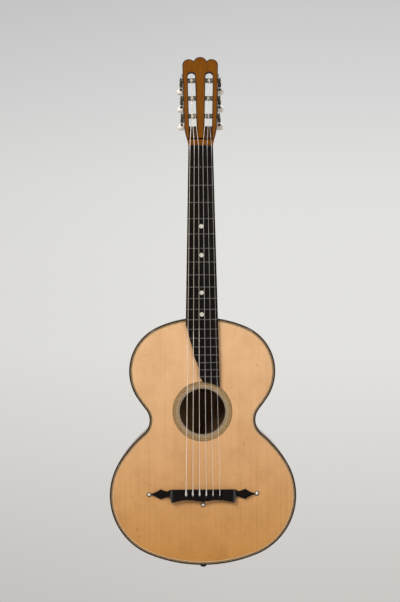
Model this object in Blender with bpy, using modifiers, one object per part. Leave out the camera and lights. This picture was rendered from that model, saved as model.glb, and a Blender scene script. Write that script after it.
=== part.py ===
"""A small steel-strung guitar with a slotted headstock, in metres.

The frame: the origin is on the centre line at the front edge of the nut, in the plane of the soundboard's
face. +Z runs up the neck to the headstock, +Y runs into the body, and +X is the treble side.
"""

import math

import bmesh
import bpy
import numpy as np
from mathutils import Matrix, Vector

# Clearances, and how far cutters reach past what they cut
SEAT = 0.0003
RUN = 0.0003
CUT_PAST = 0.0100

# Strings: scale length, and where they cross the nut and the saddle
SCALE_LENGTH = 0.638
NUT_SPACING = 0.00795
SADDLE_SPACING = 0.01250
STRING_RADII = (0.00060, 0.00052, 0.00045, 0.00040, 0.00032, 0.00028)
STRING_NAMES = ("string_6_e", "string_5_a", "string_4_d", "string_3_g", "string_2_b", "string_1_e")
WOUND_STRINGS = 3
STRING_BELOW = 0.0030
WINDING_TURNS = 2.0
WINDING_STEPS = 24
WINDING_GAP = 0.00055

# Body: half outline from the top of the centre line as tangent arcs, (radius, turn in degrees), where a
# negative radius bends inwards. The last arc's radius and turn close the outline on the centre line.
# The neck meets the body near the twelfth fret, at half the scale length.
BODY_RISE = 0.0037
BODY_TOP = BODY_RISE - SCALE_LENGTH / 2
SHOULDER_RADIUS = 0.2044
UPPER_BOUT_RADIUS = 0.0901
UPPER_FLAT_RADIUS = 0.2980
WAIST_RADIUS = 0.0321
LOWER_FLAT_RADIUS = 0.2284
LOWER_BOUT_RADIUS = 0.1187
BODY_ARCS = (
    (SHOULDER_RADIUS, 23.7), (UPPER_BOUT_RADIUS, 100.0), (UPPER_FLAT_RADIUS, 5.0),
    (-WAIST_RADIUS, 88.4), (LOWER_FLAT_RADIUS, 17.4), (LOWER_BOUT_RADIUS, 100.0),
)
ARC_STEP = 11.0
BODY_DEPTH = 0.088
PLATE = 0.0028
RIB = 0.0022
BINDING_WIDTH = 0.0023
BINDING_DEPTH = 0.0060
PURFLING_WIDTH = 0.0037
LINING_WIDTH = 0.0065
LINING_DEPTH = 0.0120
BLOCK_WIDTH = 0.072
BLOCK_LENGTH = 0.024
BAR_WIDTH = 0.010
BAR_HEIGHT = 0.014
BACK_BAR_DROPS = (0.0947, 0.3297)
BACK_BAR_PLACES = tuple(BODY_TOP - drop for drop in BACK_BAR_DROPS)

# Sound hole and rosette, and the soundboard's bars on both sides of them
HOLE_DROP = 0.1747
HOLE_PLACE = BODY_TOP - HOLE_DROP
HOLE_RADIUS = 0.0420
ROSETTE_RADIUS = 0.0554
TOP_BAR_GAP = 0.0071
TOP_BAR_PLACES = (HOLE_PLACE + ROSETTE_RADIUS + TOP_BAR_GAP, HOLE_PLACE - ROSETTE_RADIUS - TOP_BAR_GAP)
ROSETTE_DEPTH = 0.0014
ROUND_STEPS = 48
SMALL_STEPS = 16

# Fingerboard, nut and frets
BOARD_NUT_HALF = 0.0229
BOARD_TAPER = 0.0220
BOARD_THICK = 0.0050
FRET_COUNT = 19
FRET_WIDTH = 0.0020
FRET_HEIGHT = 0.0010
FRET_INSET = 0.0008
NUT_LENGTH = 0.0050
NUT_HEIGHT = 0.0016
DOT_RADIUS = 0.0040
DOT_DEPTH = 0.0010
DOT_FRETS = (5, 7, 10, 12)
# The bass side is cut back in steps: the distance from the centre line, and where the step starts and
# ends, measured up from the sound hole's middle.
BOARD_CUT_START = HOLE_PLACE + 0.1610
BOARD_STEPS = ((0.0246, 0.1460, 0.1403), (0.0160, 0.1124, 0.1050), (0.0060, 0.0802, 0.0660))
BOARD_END_X = 0.0008
BOARD_END_STEPS = 6

# Neck and heel
NECK_DEPTH = 0.0200
NECK_FULLNESS = 0.85
HEEL_START = BODY_TOP + 0.0533
HEEL_DEPTH = 0.0810
HEEL_TIP_HALF = 0.0120
HEEL_FLAT = 0.0120
HEEL_STEPS = 7
HEEL_SWELL = 1.25
HEEL_CAP_THICK = 0.0025
NECK_SIDES = 14

# Headstock, in its own tilted plane: x across, z up its face from the nut, y into its thickness
HEAD_TILT = 13.0
HEAD_THICK = 0.0200
HEAD_BASE_HALF = 0.0224
HEAD_SHOULDER = 0.0380
HEAD_SHOULDER_HALF = 0.0306
HEAD_FLARE = 1.37
CUSP = (0.0122, 0.1651)
MIDDLE_LOBE_RISE = 0.0084
SIDE_LOBE_RADIUS = 0.0123
LOBE_STEPS = 7
CHEEK = 0.0093
SLOT_WIDTH = 0.0140
SLOT_BOTTOM = 0.0385
SLOT_TOP = 0.1428
RAMP_START = 0.0110
RAMP_DEPTH = 0.0062
RAMP_OVERLAP = 0.0020
SLOT_STEPS = 8

# Tuning machines
TUNER_PLACES = (0.0595, 0.0945, 0.1295)
PLATE_THICK = 0.0012
TUNER_PLATE_WIDTH = 0.0150
TUNER_PLATE_END = 0.0140
ROLLER_RADIUS = 0.0046
ROLLER_SEAT = 0.0050
ROLLER_SIDES = 18
TEETH = 14
GEAR_OUTER = 0.0060
GEAR_ROOT = 0.0050
GEAR_THICK = 0.0024
TOOTH_TOP = 0.0008
TOOTH_FOOT = 0.0010
WORM_OUTER = 0.0024
WORM_ROOT = 0.0014
WORM_DROP = 0.0077
WORM_HALF = 0.0036
WORM_SIDES = 12
THREAD_TOP = 0.00055
THREAD_FOOT = 0.00095
SHAFT_RADIUS = 0.0012
LUG_THICK = 0.0018
LUG_HALF = 0.0026
SHAFT_END = 0.0270
BUTTON_SIZE = (0.0150, 0.0125, 0.0110)
BUTTON_ROUND = 0.0042

# Bridge, placed from the saddle's middle
SADDLE_PLACE = -SCALE_LENGTH
BRIDGE_HALF = 0.0600
BRIDGE_SHOULDER_HALF = 0.0620
BRIDGE_TOP = SADDLE_PLACE + 0.0030
BRIDGE_CORNER_HALF = 0.0586
BRIDGE_CORNER = SADDLE_PLACE - 0.0215
BRIDGE_MIDDLE = SADDLE_PLACE - 0.0200
BRIDGE_ARCH = 0.0045
BRIDGE_HEIGHT = 0.0082
WING_HEIGHT = 0.0032
WING_Z = SADDLE_PLACE - 0.0055
NECK_X = 0.0665
NECK_HALF = 0.0050
DIAMOND_X = 0.0790
DIAMOND_HALF = 0.0092
WING_TIP = 0.0968
WING_TIP_HALF = 0.0006
ARCH_STEPS = 5
SADDLE_WIDTH = 0.0026
SADDLE_HALF = 0.0365
SADDLE_DEPTH = 0.0040
SADDLE_RISE = 0.0028
PIN_PLACE = SADDLE_PLACE - 0.0120
PIN_RADIUS = 0.0024
PIN_HEAD = 0.0036
PIN_DOME = 0.0026
PIN_LENGTH = 0.0200
PIN_STEPS = 12
KEY_STEPS = 10

# End pin
END_PIN_RADIUS = 0.0036
END_PIN_HEAD = 0.0066
END_PIN_DOME = 0.0094
END_PIN_LENGTH = 0.0200

# Colours, as linear RGB, with roughness and metallic
FINISHES = {
    "spruce": ((0.60, 0.38, 0.17), 0.35, 0.0),
    "side_wood": ((0.20, 0.09, 0.035), 0.35, 0.0),
    "inside_wood": ((0.45, 0.28, 0.13), 0.7, 0.0),
    "binding": ((0.08, 0.05, 0.03), 0.4, 0.0),
    "purfling": ((0.28, 0.16, 0.08), 0.45, 0.0),
    "rosette": ((0.33, 0.24, 0.12), 0.45, 0.0),
    "neck_wood": ((0.22, 0.08, 0.015), 0.3, 0.0),
    "ebony": ((0.012, 0.010, 0.008), 0.35, 0.0),
    "pearl": ((0.80, 0.78, 0.72), 0.2, 0.0),
    "aged_steel": ((0.22, 0.21, 0.18), 0.4, 1.0),
    "bronze": ((0.65, 0.50, 0.36), 0.3, 1.0),
    "steel": ((0.60, 0.60, 0.60), 0.25, 1.0),
    "dark_brass": ((0.12, 0.10, 0.07), 0.45, 1.0),
}


def clear_scene():
    """Remove what the startup file holds."""
    for old in list(bpy.data.objects):
        bpy.data.objects.remove(old, do_unlink=True)


def new_collection(name):
    made = bpy.data.collections.new(name)
    bpy.context.scene.collection.children.link(made)
    return made


clear_scene()
PARTS = new_collection("guitar")
CUTTERS = new_collection("cutters")
CUTTERS.hide_render = True
MATERIALS = {}


def material(finish):
    """The Principled material of a finish, made once."""
    if finish not in MATERIALS:
        colour, roughness, metallic = FINISHES[finish]
        made = bpy.data.materials.new(finish)
        made.use_nodes = True
        shader = made.node_tree.nodes["Principled BSDF"]
        shader.inputs["Base Color"].default_value = (*colour, 1.0)
        shader.inputs["Roughness"].default_value = roughness
        shader.inputs["Metallic"].default_value = metallic
        made.diffuse_color = (*colour, 1.0)
        MATERIALS[finish] = made
    return MATERIALS[finish]


def add(name, data, finish=None, parent=None, at=None):
    """Link an object for this mesh or curve: a part with its finish, or else a cutter."""
    obj = bpy.data.objects.new(name, data)
    if finish:
        data.materials.append(material(finish))
        PARTS.objects.link(obj)
    else:
        obj.hide_render = True
        obj.display_type = "WIRE"
        CUTTERS.objects.link(obj)
    if parent:
        obj.parent = parent
    if at is not None:
        obj.matrix_basis = at
    return obj


def empty(name, at, parent=None):
    frame = bpy.data.objects.new(name, None)
    frame.empty_display_size = 0.02
    PARTS.objects.link(frame)
    frame.parent = parent
    frame.matrix_basis = at
    return frame


def as_mesh(obj):
    """Make a curve object a welded mesh object in the same place, under the same name."""
    bpy.context.view_layer.update()
    graph = bpy.context.evaluated_depsgraph_get()
    mesh = bpy.data.meshes.new_from_object(obj.evaluated_get(graph))
    work = bmesh.new()
    work.from_mesh(mesh)
    bmesh.ops.remove_doubles(work, verts=work.verts, dist=1e-6)
    bmesh.ops.recalc_face_normals(work, faces=work.faces)
    work.to_mesh(mesh)
    work.free()
    name = obj.name
    made = bpy.data.objects.new(name, mesh)
    obj.users_collection[0].objects.link(made)
    made.hide_render = obj.hide_render
    made.display_type = obj.display_type
    made.parent = obj.parent
    made.matrix_basis = obj.matrix_basis
    bpy.data.objects.remove(obj, do_unlink=True)
    made.name = name
    return made


def combine(target, other, operation):
    """Cut other out of target, or join it on, with a Boolean modifier on target."""
    other.hide_render = True
    other.display_type = "WIRE"
    for holder in list(other.users_collection):
        holder.objects.unlink(other)
    CUTTERS.objects.link(other)
    change = target.modifiers.new(other.name, "BOOLEAN")
    change.operation = operation
    change.object = other


def smooth(obj, degrees=35.0):
    obj.data.shade_smooth()
    obj.data.set_sharp_from_angle(angle=math.radians(degrees))


def prism(name, outlines, low, high, finish=None, parent=None):
    """A flat shape of (x, z) outlines, the first one outside and the rest holes, from y = low to high."""
    curve = bpy.data.curves.new(name, "CURVE")
    curve.dimensions = "2D"
    curve.fill_mode = "BOTH"
    curve.extrude = (high - low) / 2
    for outline in outlines:
        spline = curve.splines.new("POLY")
        spline.points.add(len(outline) - 1)
        for point, (x, z) in zip(spline.points, outline):
            point.co = (x, z, 0.0, 1.0)
        spline.use_cyclic_u = True
    upright = Matrix.Rotation(math.radians(90.0), 4, "X")
    place = Matrix.Translation((0.0, (low + high) / 2, 0.0)) @ upright
    return as_mesh(add(name, curve, finish, parent, place))


def cylinder(name, radius, start, end, sides, finish=None, parent=None):
    """A cylinder from one point to another."""
    start = Vector(start)
    run = Vector(end) - start
    work = bmesh.new()
    bmesh.ops.create_cone(
        work, cap_ends=True, segments=sides, radius1=radius, radius2=radius, depth=run.length
    )
    turn = run.to_track_quat("Z", "Y").to_matrix().to_4x4()
    bmesh.ops.transform(work, matrix=Matrix.Translation(start + run / 2) @ turn, verts=work.verts)
    mesh = bpy.data.meshes.new(name)
    work.to_mesh(mesh)
    work.free()
    obj = add(name, mesh, finish, parent)
    smooth(obj)
    return obj


def box(name, low, high, finish=None, parent=None, at=None):
    """A box between two corners."""
    low = Vector(low)
    high = Vector(high)
    work = bmesh.new()
    bmesh.ops.create_cube(work, size=1.0)
    bmesh.ops.scale(work, vec=high - low, verts=work.verts)
    bmesh.ops.translate(work, vec=(low + high) / 2, verts=work.verts)
    mesh = bpy.data.meshes.new(name)
    work.to_mesh(mesh)
    work.free()
    return add(name, mesh, finish, parent, at)


def bevel(obj, width, segments):
    rounding = obj.modifiers.new("rounded edges", "BEVEL")
    rounding.width = width
    rounding.segments = segments
    rounding.limit_method = "ANGLE"


def turned(name, profile, finish, at, steps):
    """A turned shape: (radius, height) points from the top down, turned about the local Z axis."""
    mesh = bpy.data.meshes.new(name)
    points = [(radius, 0.0, height) for radius, height in profile]
    mesh.from_pydata(points, [(i, i + 1) for i in range(len(points) - 1)], [])
    obj = add(name, mesh, finish, None, at)
    lathe = obj.modifiers.new("turned", "SCREW")
    lathe.axis = "Z"
    lathe.steps = steps
    lathe.render_steps = steps
    lathe.use_merge_vertices = True
    lathe.merge_threshold = 0.00001
    lathe.use_smooth_shade = True
    return obj


def ring(radius, centre=(0.0, 0.0), steps=ROUND_STEPS):
    """Points of a full circle."""
    angles = [2 * math.pi * i / steps for i in range(steps)]
    return [(centre[0] + radius * math.cos(a), centre[1] + radius * math.sin(a)) for a in angles]


def arc(centre, radius, first, last, steps):
    """Points of an arc between two angles in degrees."""
    angles = [math.radians(first + (last - first) * i / steps) for i in range(steps + 1)]
    return [(centre[0] + radius * math.cos(a), centre[1] + radius * math.sin(a)) for a in angles]


def body_half(inset=0.0):
    """The treble half of the body's outline, moved inwards, from the top down to the bottom."""
    place = np.array([0.0, BODY_TOP])
    heading = 0.0
    points = [np.array([0.0, BODY_TOP - inset])]
    turned_so_far = sum(math.copysign(turn, radius) for radius, turn in BODY_ARCS)
    arcs = list(BODY_ARCS) + [(None, 180.0 - turned_so_far)]
    for radius, turn in arcs:
        side = np.array([math.sin(heading), -math.cos(heading)])
        if radius is None:
            # The closing arc's centre lies on the centre line.
            radius = -place[0] / side[0]
        centre = place + side * radius
        steps = max(1, math.ceil(turn / ARC_STEP))
        sign = math.copysign(1.0, radius)
        start = place
        for i in range(1, steps + 1):
            swing = -sign * math.radians(turn) * i / steps
            out = start - centre
            spun = np.array([
                out[0] * math.cos(swing) - out[1] * math.sin(swing),
                out[0] * math.sin(swing) + out[1] * math.cos(swing),
            ])
            place = centre + spun
            points.append(centre + spun * (radius - inset) / radius)
        heading -= sign * math.radians(turn)
    points[-1][0] = 0.0
    return [tuple(point) for point in points]


def body_outline(inset=0.0):
    """The whole outline as one loop."""
    half = body_half(inset)
    return half + [(-x, z) for x, z in reversed(half[1:-1])]


def body_bottom():
    return body_half()[-1][1]


def body_half_width(z, inset=0.0):
    """How far the outline lies from the centre line at this height."""
    half = body_half(inset)
    widest = 0.0
    for (x0, z0), (x1, z1) in zip(half, half[1:]):
        if min(z0, z1) <= z <= max(z0, z1) and z0 != z1:
            widest = max(widest, x0 + (x1 - x0) * (z - z0) / (z1 - z0))
    return widest


# Places that several pieces share
EDGE = BINDING_WIDTH + SEAT
BOARD_FACE = -(SEAT + BOARD_THICK)
HEAD_START = NUT_LENGTH + SEAT
BACK = BODY_DEPTH


def loft(name, rings, finish):
    """A closed skin through rings of equally many points, with flat ends."""
    work = bmesh.new()
    rows = [[work.verts.new(point) for point in points] for points in rings]
    count = len(rows[0])
    for low_row, high_row in zip(rows, rows[1:]):
        for i in range(count):
            j = (i + 1) % count
            work.faces.new((low_row[i], low_row[j], high_row[j], high_row[i]))
    work.faces.new(rows[0])
    work.faces.new(rows[-1])
    bmesh.ops.recalc_face_normals(work, faces=work.faces)
    mesh = bpy.data.meshes.new(name)
    work.to_mesh(mesh)
    work.free()
    obj = add(name, mesh, finish)
    smooth(obj)
    return obj


def key_hole(x, string_radius):
    """A bridge pin's hole with its notch for the string, towards the saddle."""
    radius = PIN_RADIUS + SEAT
    half = string_radius + SEAT
    side = math.degrees(math.acos(half / radius))
    points = arc((x, PIN_PLACE), radius, side, -180.0 - side, KEY_STEPS)
    top = string_hole_place(string_radius) + half
    return [(x + half, top)] + points + [(x - half, top)]


def string_hole_place(string_radius):
    """Height of a string's centre where it goes down past its bridge pin."""
    return PIN_PLACE + PIN_RADIUS + SEAT + string_radius


def string_place(index, spacing):
    """A string's distance from the centre line; string 0 is the thickest, on the bass side."""
    return (index - (len(STRING_RADII) - 1) / 2) * spacing


def key_holes():
    places = enumerate(STRING_RADII)
    return [key_hole(string_place(i, SADDLE_SPACING), radius) for i, radius in places]


def make_plates():
    """Soundboard, back plate, and the bands let into their edges."""
    top_edge = EDGE + PURFLING_WIDTH + SEAT
    hole = ring(HOLE_RADIUS, (0.0, HOLE_PLACE))
    soundboard = prism("soundboard", [body_outline(top_edge), hole, *key_holes()], 0.0, PLATE, "spruce")
    recess = cylinder(
        "rosette_recess", ROSETTE_RADIUS + SEAT, (0.0, -CUT_PAST, HOLE_PLACE),
        (0.0, ROSETTE_DEPTH + SEAT, HOLE_PLACE), ROUND_STEPS,
    )
    combine(soundboard, recess, "DIFFERENCE")
    bands = [ring(ROSETTE_RADIUS, (0.0, HOLE_PLACE)), hole]
    prism("rosette", bands, 0.0, ROSETTE_DEPTH, "rosette")
    outer_band = [body_outline(), body_outline(BINDING_WIDTH)]
    inner_band = [body_outline(EDGE), body_outline(EDGE + PURFLING_WIDTH)]
    prism("front_binding", outer_band, 0.0, BINDING_DEPTH, "binding")
    prism("front_purfling", inner_band, 0.0, PLATE, "purfling")
    prism("back_binding", outer_band, BACK - BINDING_DEPTH, BACK, "binding")
    prism("back_plate", [body_outline(EDGE)], BACK - PLATE, BACK, "side_wood")


def make_sides():
    """Two ribs, the linings that glue them to the plates, and the end blocks."""
    low = BINDING_DEPTH + SEAT
    high = BACK - BINDING_DEPTH - SEAT
    seam = SEAT / 2
    outer = [(max(x, seam), z) for x, z in body_half()]
    inner = [(max(x, seam), z) for x, z in body_half(RIB)]
    half = outer + inner[::-1]
    pin_hole = end_pin_cutter()
    for name, side in (("rib_bass", -1), ("rib_treble", 1)):
        rib = prism(name, [[(side * x, z) for x, z in half]], low, high, "side_wood")
        combine(rib, pin_hole, "DIFFERENCE")
    strip = [body_outline(EDGE), body_outline(EDGE + LINING_WIDTH)]
    front = PLATE + SEAT
    prism("lining_front", strip, front, front + LINING_DEPTH, "inside_wood")
    prism("lining_back", strip, BACK - front - LINING_DEPTH, BACK - front, "inside_wood")
    block_low = front + LINING_DEPTH + SEAT
    edges = body_half(EDGE)
    upper = clipped(edges, BLOCK_WIDTH / 2)
    lower = clipped(edges[::-1], BLOCK_WIDTH / 2)
    for name, edge, inwards in (("neck_block", upper, -1), ("tail_block", lower, 1)):
        deep = edge[0][1] + inwards * BLOCK_LENGTH
        right = edge + [(edge[-1][0], deep)]
        outline = right + [(-x, z) for x, z in reversed(right) if x > 0]
        block = prism(name, [outline], block_low, BACK - block_low, "inside_wood")
        if name == "tail_block":
            combine(block, pin_hole, "DIFFERENCE")


def clipped(edge, reach):
    """The start of an outline that leaves the centre line, up to this distance from it."""
    count = next(i for i, (x, z) in enumerate(edge) if x >= reach)
    (x0, z0), (x1, z1) = edge[count - 1:count + 1]
    return edge[:count] + [(reach, z0 + (z1 - z0) * (reach - x0) / (x1 - x0))]


def end_pin_cutter():
    bottom = body_bottom()
    middle = BACK / 2
    start = (0.0, middle, bottom - CUT_PAST)
    end = (0.0, middle, bottom + BLOCK_LENGTH + CUT_PAST)
    return cylinder("end_pin_hole", END_PIN_RADIUS + SEAT, start, end, SMALL_STEPS)


def make_bars():
    """Cross bars under the soundboard and on the back plate, from lining to lining."""
    front = PLATE + SEAT
    spans = (
        ("top_bar", TOP_BAR_PLACES, front, front + BAR_HEIGHT),
        ("back_bar", BACK_BAR_PLACES, BACK - front - BAR_HEIGHT, BACK - front),
    )
    inset = EDGE + LINING_WIDTH + SEAT
    for kind, places, low, high in spans:
        for word, z in zip(("upper", "lower"), places):
            ends = (z - BAR_WIDTH / 2, z + BAR_WIDTH / 2)
            half = min(body_half_width(end, inset) for end in ends) - SEAT
            box(f"{kind}_{word}", (-half, low, ends[0]), (half, high, ends[1]), "inside_wood")


def board_half(z):
    """Half the fingerboard's width."""
    return BOARD_NUT_HALF - BOARD_TAPER * z


def fret_place(number):
    return -SCALE_LENGTH * (1.0 - 2.0 ** (-number / 12.0))


def board_bass_edge(z):
    """The bass edge's distance from the centre line, along the stepped cut."""
    corners = [(board_half(BOARD_CUT_START), BOARD_CUT_START)]
    for x, start, end in BOARD_STEPS:
        corners += [(x, HOLE_PLACE + start), (x, HOLE_PLACE + end)]
    corners.append((-BOARD_END_X, board_end(BOARD_END_X)))
    if z >= BOARD_CUT_START:
        return board_half(z)
    heights = [-corner[1] for corner in corners]
    return float(np.interp(-z, heights, [corner[0] for corner in corners]))


def board_end(x):
    """Height of the fingerboard's end, which follows the rosette's rim."""
    return HOLE_PLACE + math.sqrt((ROSETTE_RADIUS + SEAT) ** 2 - x * x)


def board_outline():
    treble = board_half(board_end(board_half(HOLE_PLACE)))
    points = [(-board_half(-SEAT), -SEAT), (board_half(-SEAT), -SEAT)]
    first = math.degrees(math.acos(treble / (ROSETTE_RADIUS + SEAT)))
    last = math.degrees(math.acos(BOARD_END_X / (ROSETTE_RADIUS + SEAT)))
    points += arc((0.0, HOLE_PLACE), ROSETTE_RADIUS + SEAT, first, last, BOARD_END_STEPS)
    for x, start, end in reversed(BOARD_STEPS):
        points += [(-x, HOLE_PLACE + end), (-x, HOLE_PLACE + start)]
    return points + [(-board_half(BOARD_CUT_START), BOARD_CUT_START)]


def make_board():
    """Fingerboard with its frets, the nut and the position dots."""
    board = prism("fingerboard", [board_outline()], BOARD_FACE, -SEAT, "ebony")
    frets = []
    for number in range(1, FRET_COUNT + 1):
        z = fret_place(number)
        top = z + FRET_WIDTH / 2
        bottom = z - FRET_WIDTH / 2
        bass = FRET_INSET - min(board_bass_edge(top), board_bass_edge(bottom))
        low = (bass, BOARD_FACE - FRET_HEIGHT, bottom)
        high = (board_half(top) - FRET_INSET, BOARD_FACE + BOARD_THICK / 2, top)
        frets.append(box(f"fret_{number}", low, high))
    combine(board, joined("frets", frets), "UNION")
    wells = []
    for count, fret in enumerate(DOT_FRETS, 1):
        z = (fret_place(fret) + fret_place(fret - 1)) / 2
        floor = BOARD_FACE + DOT_DEPTH
        face = (0.0, BOARD_FACE, z)
        dot_back = (0.0, floor - SEAT, z)
        cylinder(f"position_dot_{count}", DOT_RADIUS, face, dot_back, SMALL_STEPS, "pearl")
        start = (0.0, BOARD_FACE - CUT_PAST, z)
        wells.append(cylinder(f"dot_well_{count}", DOT_RADIUS + SEAT, start, (0.0, floor, z), SMALL_STEPS))
    combine(board, joined("dot_wells", wells), "DIFFERENCE")
    nut_half = board_half(0.0)
    box("nut", (-nut_half, -nut_top(), 0.0), (nut_half, -SEAT, NUT_LENGTH), "ebony")


def nut_top():
    return SEAT + BOARD_THICK + NUT_HEIGHT


def joined(name, objects):
    """Several objects' meshes as one cutter."""
    work = bmesh.new()
    for obj in objects:
        work.from_mesh(obj.data)
        bpy.data.objects.remove(obj, do_unlink=True)
    mesh = bpy.data.meshes.new(name)
    work.to_mesh(mesh)
    work.free()
    return add(name, mesh)


def neck_ring(z, depth, heel):
    """One section of the neck: flat under the fingerboard, round behind, and flat-bottomed at the heel."""
    half = board_half(z)
    swell = 1.0 + (HEEL_SWELL - 1.0) * heel
    flat_share = math.sqrt(1.0 - (1.0 / HEEL_SWELL) ** (2.0 / NECK_FULLNESS))
    points = []
    for i in range(NECK_SIDES + 1):
        angle = math.pi * i / NECK_SIDES
        rise = math.sin(angle) ** NECK_FULLNESS if 0 < i < NECK_SIDES else 0.0
        y = min(depth * swell * rise, depth)
        deep = max(0.0, y - NECK_DEPTH) / (HEEL_DEPTH - NECK_DEPTH)
        width = (1.0 - deep) * half + deep * HEEL_TIP_HALF / flat_share
        points.append((-width * math.cos(angle), y, z))
    return points


def make_neck():
    """Neck with its heel, and the heel cap."""
    end = BODY_TOP + SEAT
    rings = [neck_ring(NUT_LENGTH, NECK_DEPTH, 0.0)]
    run = HEEL_START - (end + HEEL_FLAT)
    for step in range(HEEL_STEPS + 1):
        angle = math.radians(90.0 * step / HEEL_STEPS)
        depth = NECK_DEPTH + (HEEL_DEPTH - NECK_DEPTH) * (1.0 - math.cos(angle))
        rings.append(neck_ring(HEEL_START - run * math.sin(angle), depth, step / HEEL_STEPS))
    rings.append(neck_ring(end, HEEL_DEPTH, 1.0))
    loft("neck", rings, "neck_wood")
    corner = HEEL_TIP_HALF / 3
    half = [(HEEL_TIP_HALF, end), (HEEL_TIP_HALF, end + HEEL_FLAT - corner)]
    half.append((HEEL_TIP_HALF - corner, end + HEEL_FLAT))
    outline = half + [(-x, z) for x, z in reversed(half)]
    low = HEEL_DEPTH + SEAT
    prism("heel_cap", [outline], low, low + HEEL_CAP_THICK, "ebony")


def head_side_half(z):
    return HEAD_SHOULDER_HALF + (z - HEAD_SHOULDER) * math.tan(math.radians(HEAD_FLARE))


def head_outline():
    """The headstock's outline, with its three-lobed top."""
    lobe_x = head_side_half(CUSP[1]) - SIDE_LOBE_RADIUS
    lobe_z = CUSP[1] - math.sqrt(SIDE_LOBE_RADIUS ** 2 - (lobe_x - CUSP[0]) ** 2)
    cusp_turn = math.degrees(math.atan2(CUSP[1] - lobe_z, CUSP[0] - lobe_x))
    radius = (CUSP[0] ** 2 + MIDDLE_LOBE_RISE ** 2) / (2 * MIDDLE_LOBE_RISE)
    middle_z = CUSP[1] + MIDDLE_LOBE_RISE - radius
    first = math.degrees(math.atan2(CUSP[1] - middle_z, CUSP[0]))
    half = [(HEAD_BASE_HALF, -HEAD_THICK), (HEAD_BASE_HALF, 0.0), (HEAD_SHOULDER_HALF, HEAD_SHOULDER)]
    half += arc((lobe_x, lobe_z), SIDE_LOBE_RADIUS, 0.0, cusp_turn, LOBE_STEPS)
    half += arc((0.0, middle_z), radius, first, 90.0, LOBE_STEPS // 2)[1:]
    return half + [(-x, z) for x, z in reversed(half[:-1])]


def slot_outline(side):
    """A string slot's outline in the headstock's plane, parallel to the headstock's edge."""
    middle = CHEEK + SLOT_WIDTH / 2
    top = SLOT_TOP - HEAD_SHOULDER - SLOT_WIDTH / 2
    bottom = SLOT_BOTTOM - HEAD_SHOULDER
    points = [(CHEEK, bottom)]
    points += [(2 * middle - x, z) for x, z in arc((middle, top), SLOT_WIDTH / 2, 0.0, 180.0, SLOT_STEPS)]
    points.append((CHEEK + SLOT_WIDTH, bottom))
    flare = math.radians(HEAD_FLARE)
    turned_points = []
    for x, z in points:
        across = HEAD_SHOULDER_HALF - x * math.cos(flare) + z * math.sin(flare)
        turned_points.append((side * across, HEAD_SHOULDER + z * math.cos(flare) + x * math.sin(flare)))
    return turned_points


def make_headstock():
    """The slotted headstock. It returns the empties of its two side faces."""
    tilt = Matrix.Rotation(math.radians(-HEAD_TILT), 4, "X")
    plane = empty("headstock_plane", Matrix.Translation((0.0, 0.0, HEAD_START)) @ tilt)
    outlines = [head_outline(), slot_outline(-1), slot_outline(1)]
    head = prism("headstock", outlines, 0.0, HEAD_THICK, "neck_wood", plane)
    far = 2 * HEAD_SHOULDER_HALF
    end_cut = box("headstock_end_cut", (-far, -far, -far), (far, far, HEAD_START))
    combine(head, end_cut, "DIFFERENCE")
    sides = {}
    for word, side in (("bass", -1), ("treble", 1)):
        flare = Matrix.Rotation(side * math.radians(HEAD_FLARE), 4, "Y")
        corner = Matrix.Translation((side * HEAD_SHOULDER_HALF, HEAD_THICK / 2, HEAD_SHOULDER))
        sides[side] = empty(f"{word}_side_face", corner @ flare, plane)
        bores = []
        reach = CHEEK + SLOT_WIDTH + ROLLER_SEAT
        for place in TUNER_PLACES:
            z = place - HEAD_SHOULDER
            start = (side * CUT_PAST, 0.0, z)
            end = (-side * reach, 0.0, z)
            bores.append(cylinder("bore", ROLLER_RADIUS + RUN, start, end, ROLLER_SIDES))
        combine(head, with_parent(joined(f"{word}_roller_bores", bores), sides[side]), "DIFFERENCE")
        slope = math.atan2(RAMP_DEPTH, SLOT_BOTTOM - RAMP_START)
        length = (SLOT_BOTTOM - RAMP_START) / math.cos(slope) + RAMP_OVERLAP
        lean = Matrix.Rotation(-slope, 4, "X")
        foot = (-side * (CHEEK + SLOT_WIDTH / 2), -HEAD_THICK / 2, RAMP_START - HEAD_SHOULDER)
        low = (-SLOT_WIDTH / 2, -HEAD_THICK, 0.0)
        high = (SLOT_WIDTH / 2, 0.0, length)
        ramp = box(f"{word}_ramp", low, high, None, sides[side], Matrix.Translation(foot) @ lean)
        combine(head, ramp, "DIFFERENCE")
    return sides


def with_parent(obj, parent):
    obj.parent = parent
    return obj


def gear_outline():
    """A wheel with straight-flanked teeth and a gap towards the worm."""
    points = []
    for tooth in range(TEETH):
        middle = -math.pi / 2 + 2 * math.pi * (tooth + 0.5) / TEETH
        half_foot = TOOTH_FOOT / 2 / GEAR_ROOT
        half_top = TOOTH_TOP / 2 / GEAR_OUTER
        for radius, swing in (
            (GEAR_ROOT, -half_foot), (GEAR_OUTER, -half_top), (GEAR_OUTER, half_top), (GEAR_ROOT, half_foot)
        ):
            points.append((radius * math.cos(middle + swing), radius * math.sin(middle + swing)))
    return points


def gear_lead():
    """The worm's lead: the gear's tooth spacing at the height where the two mesh."""
    return 2 * math.pi * (GEAR_OUTER + GEAR_ROOT) / 2 / TEETH


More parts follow.
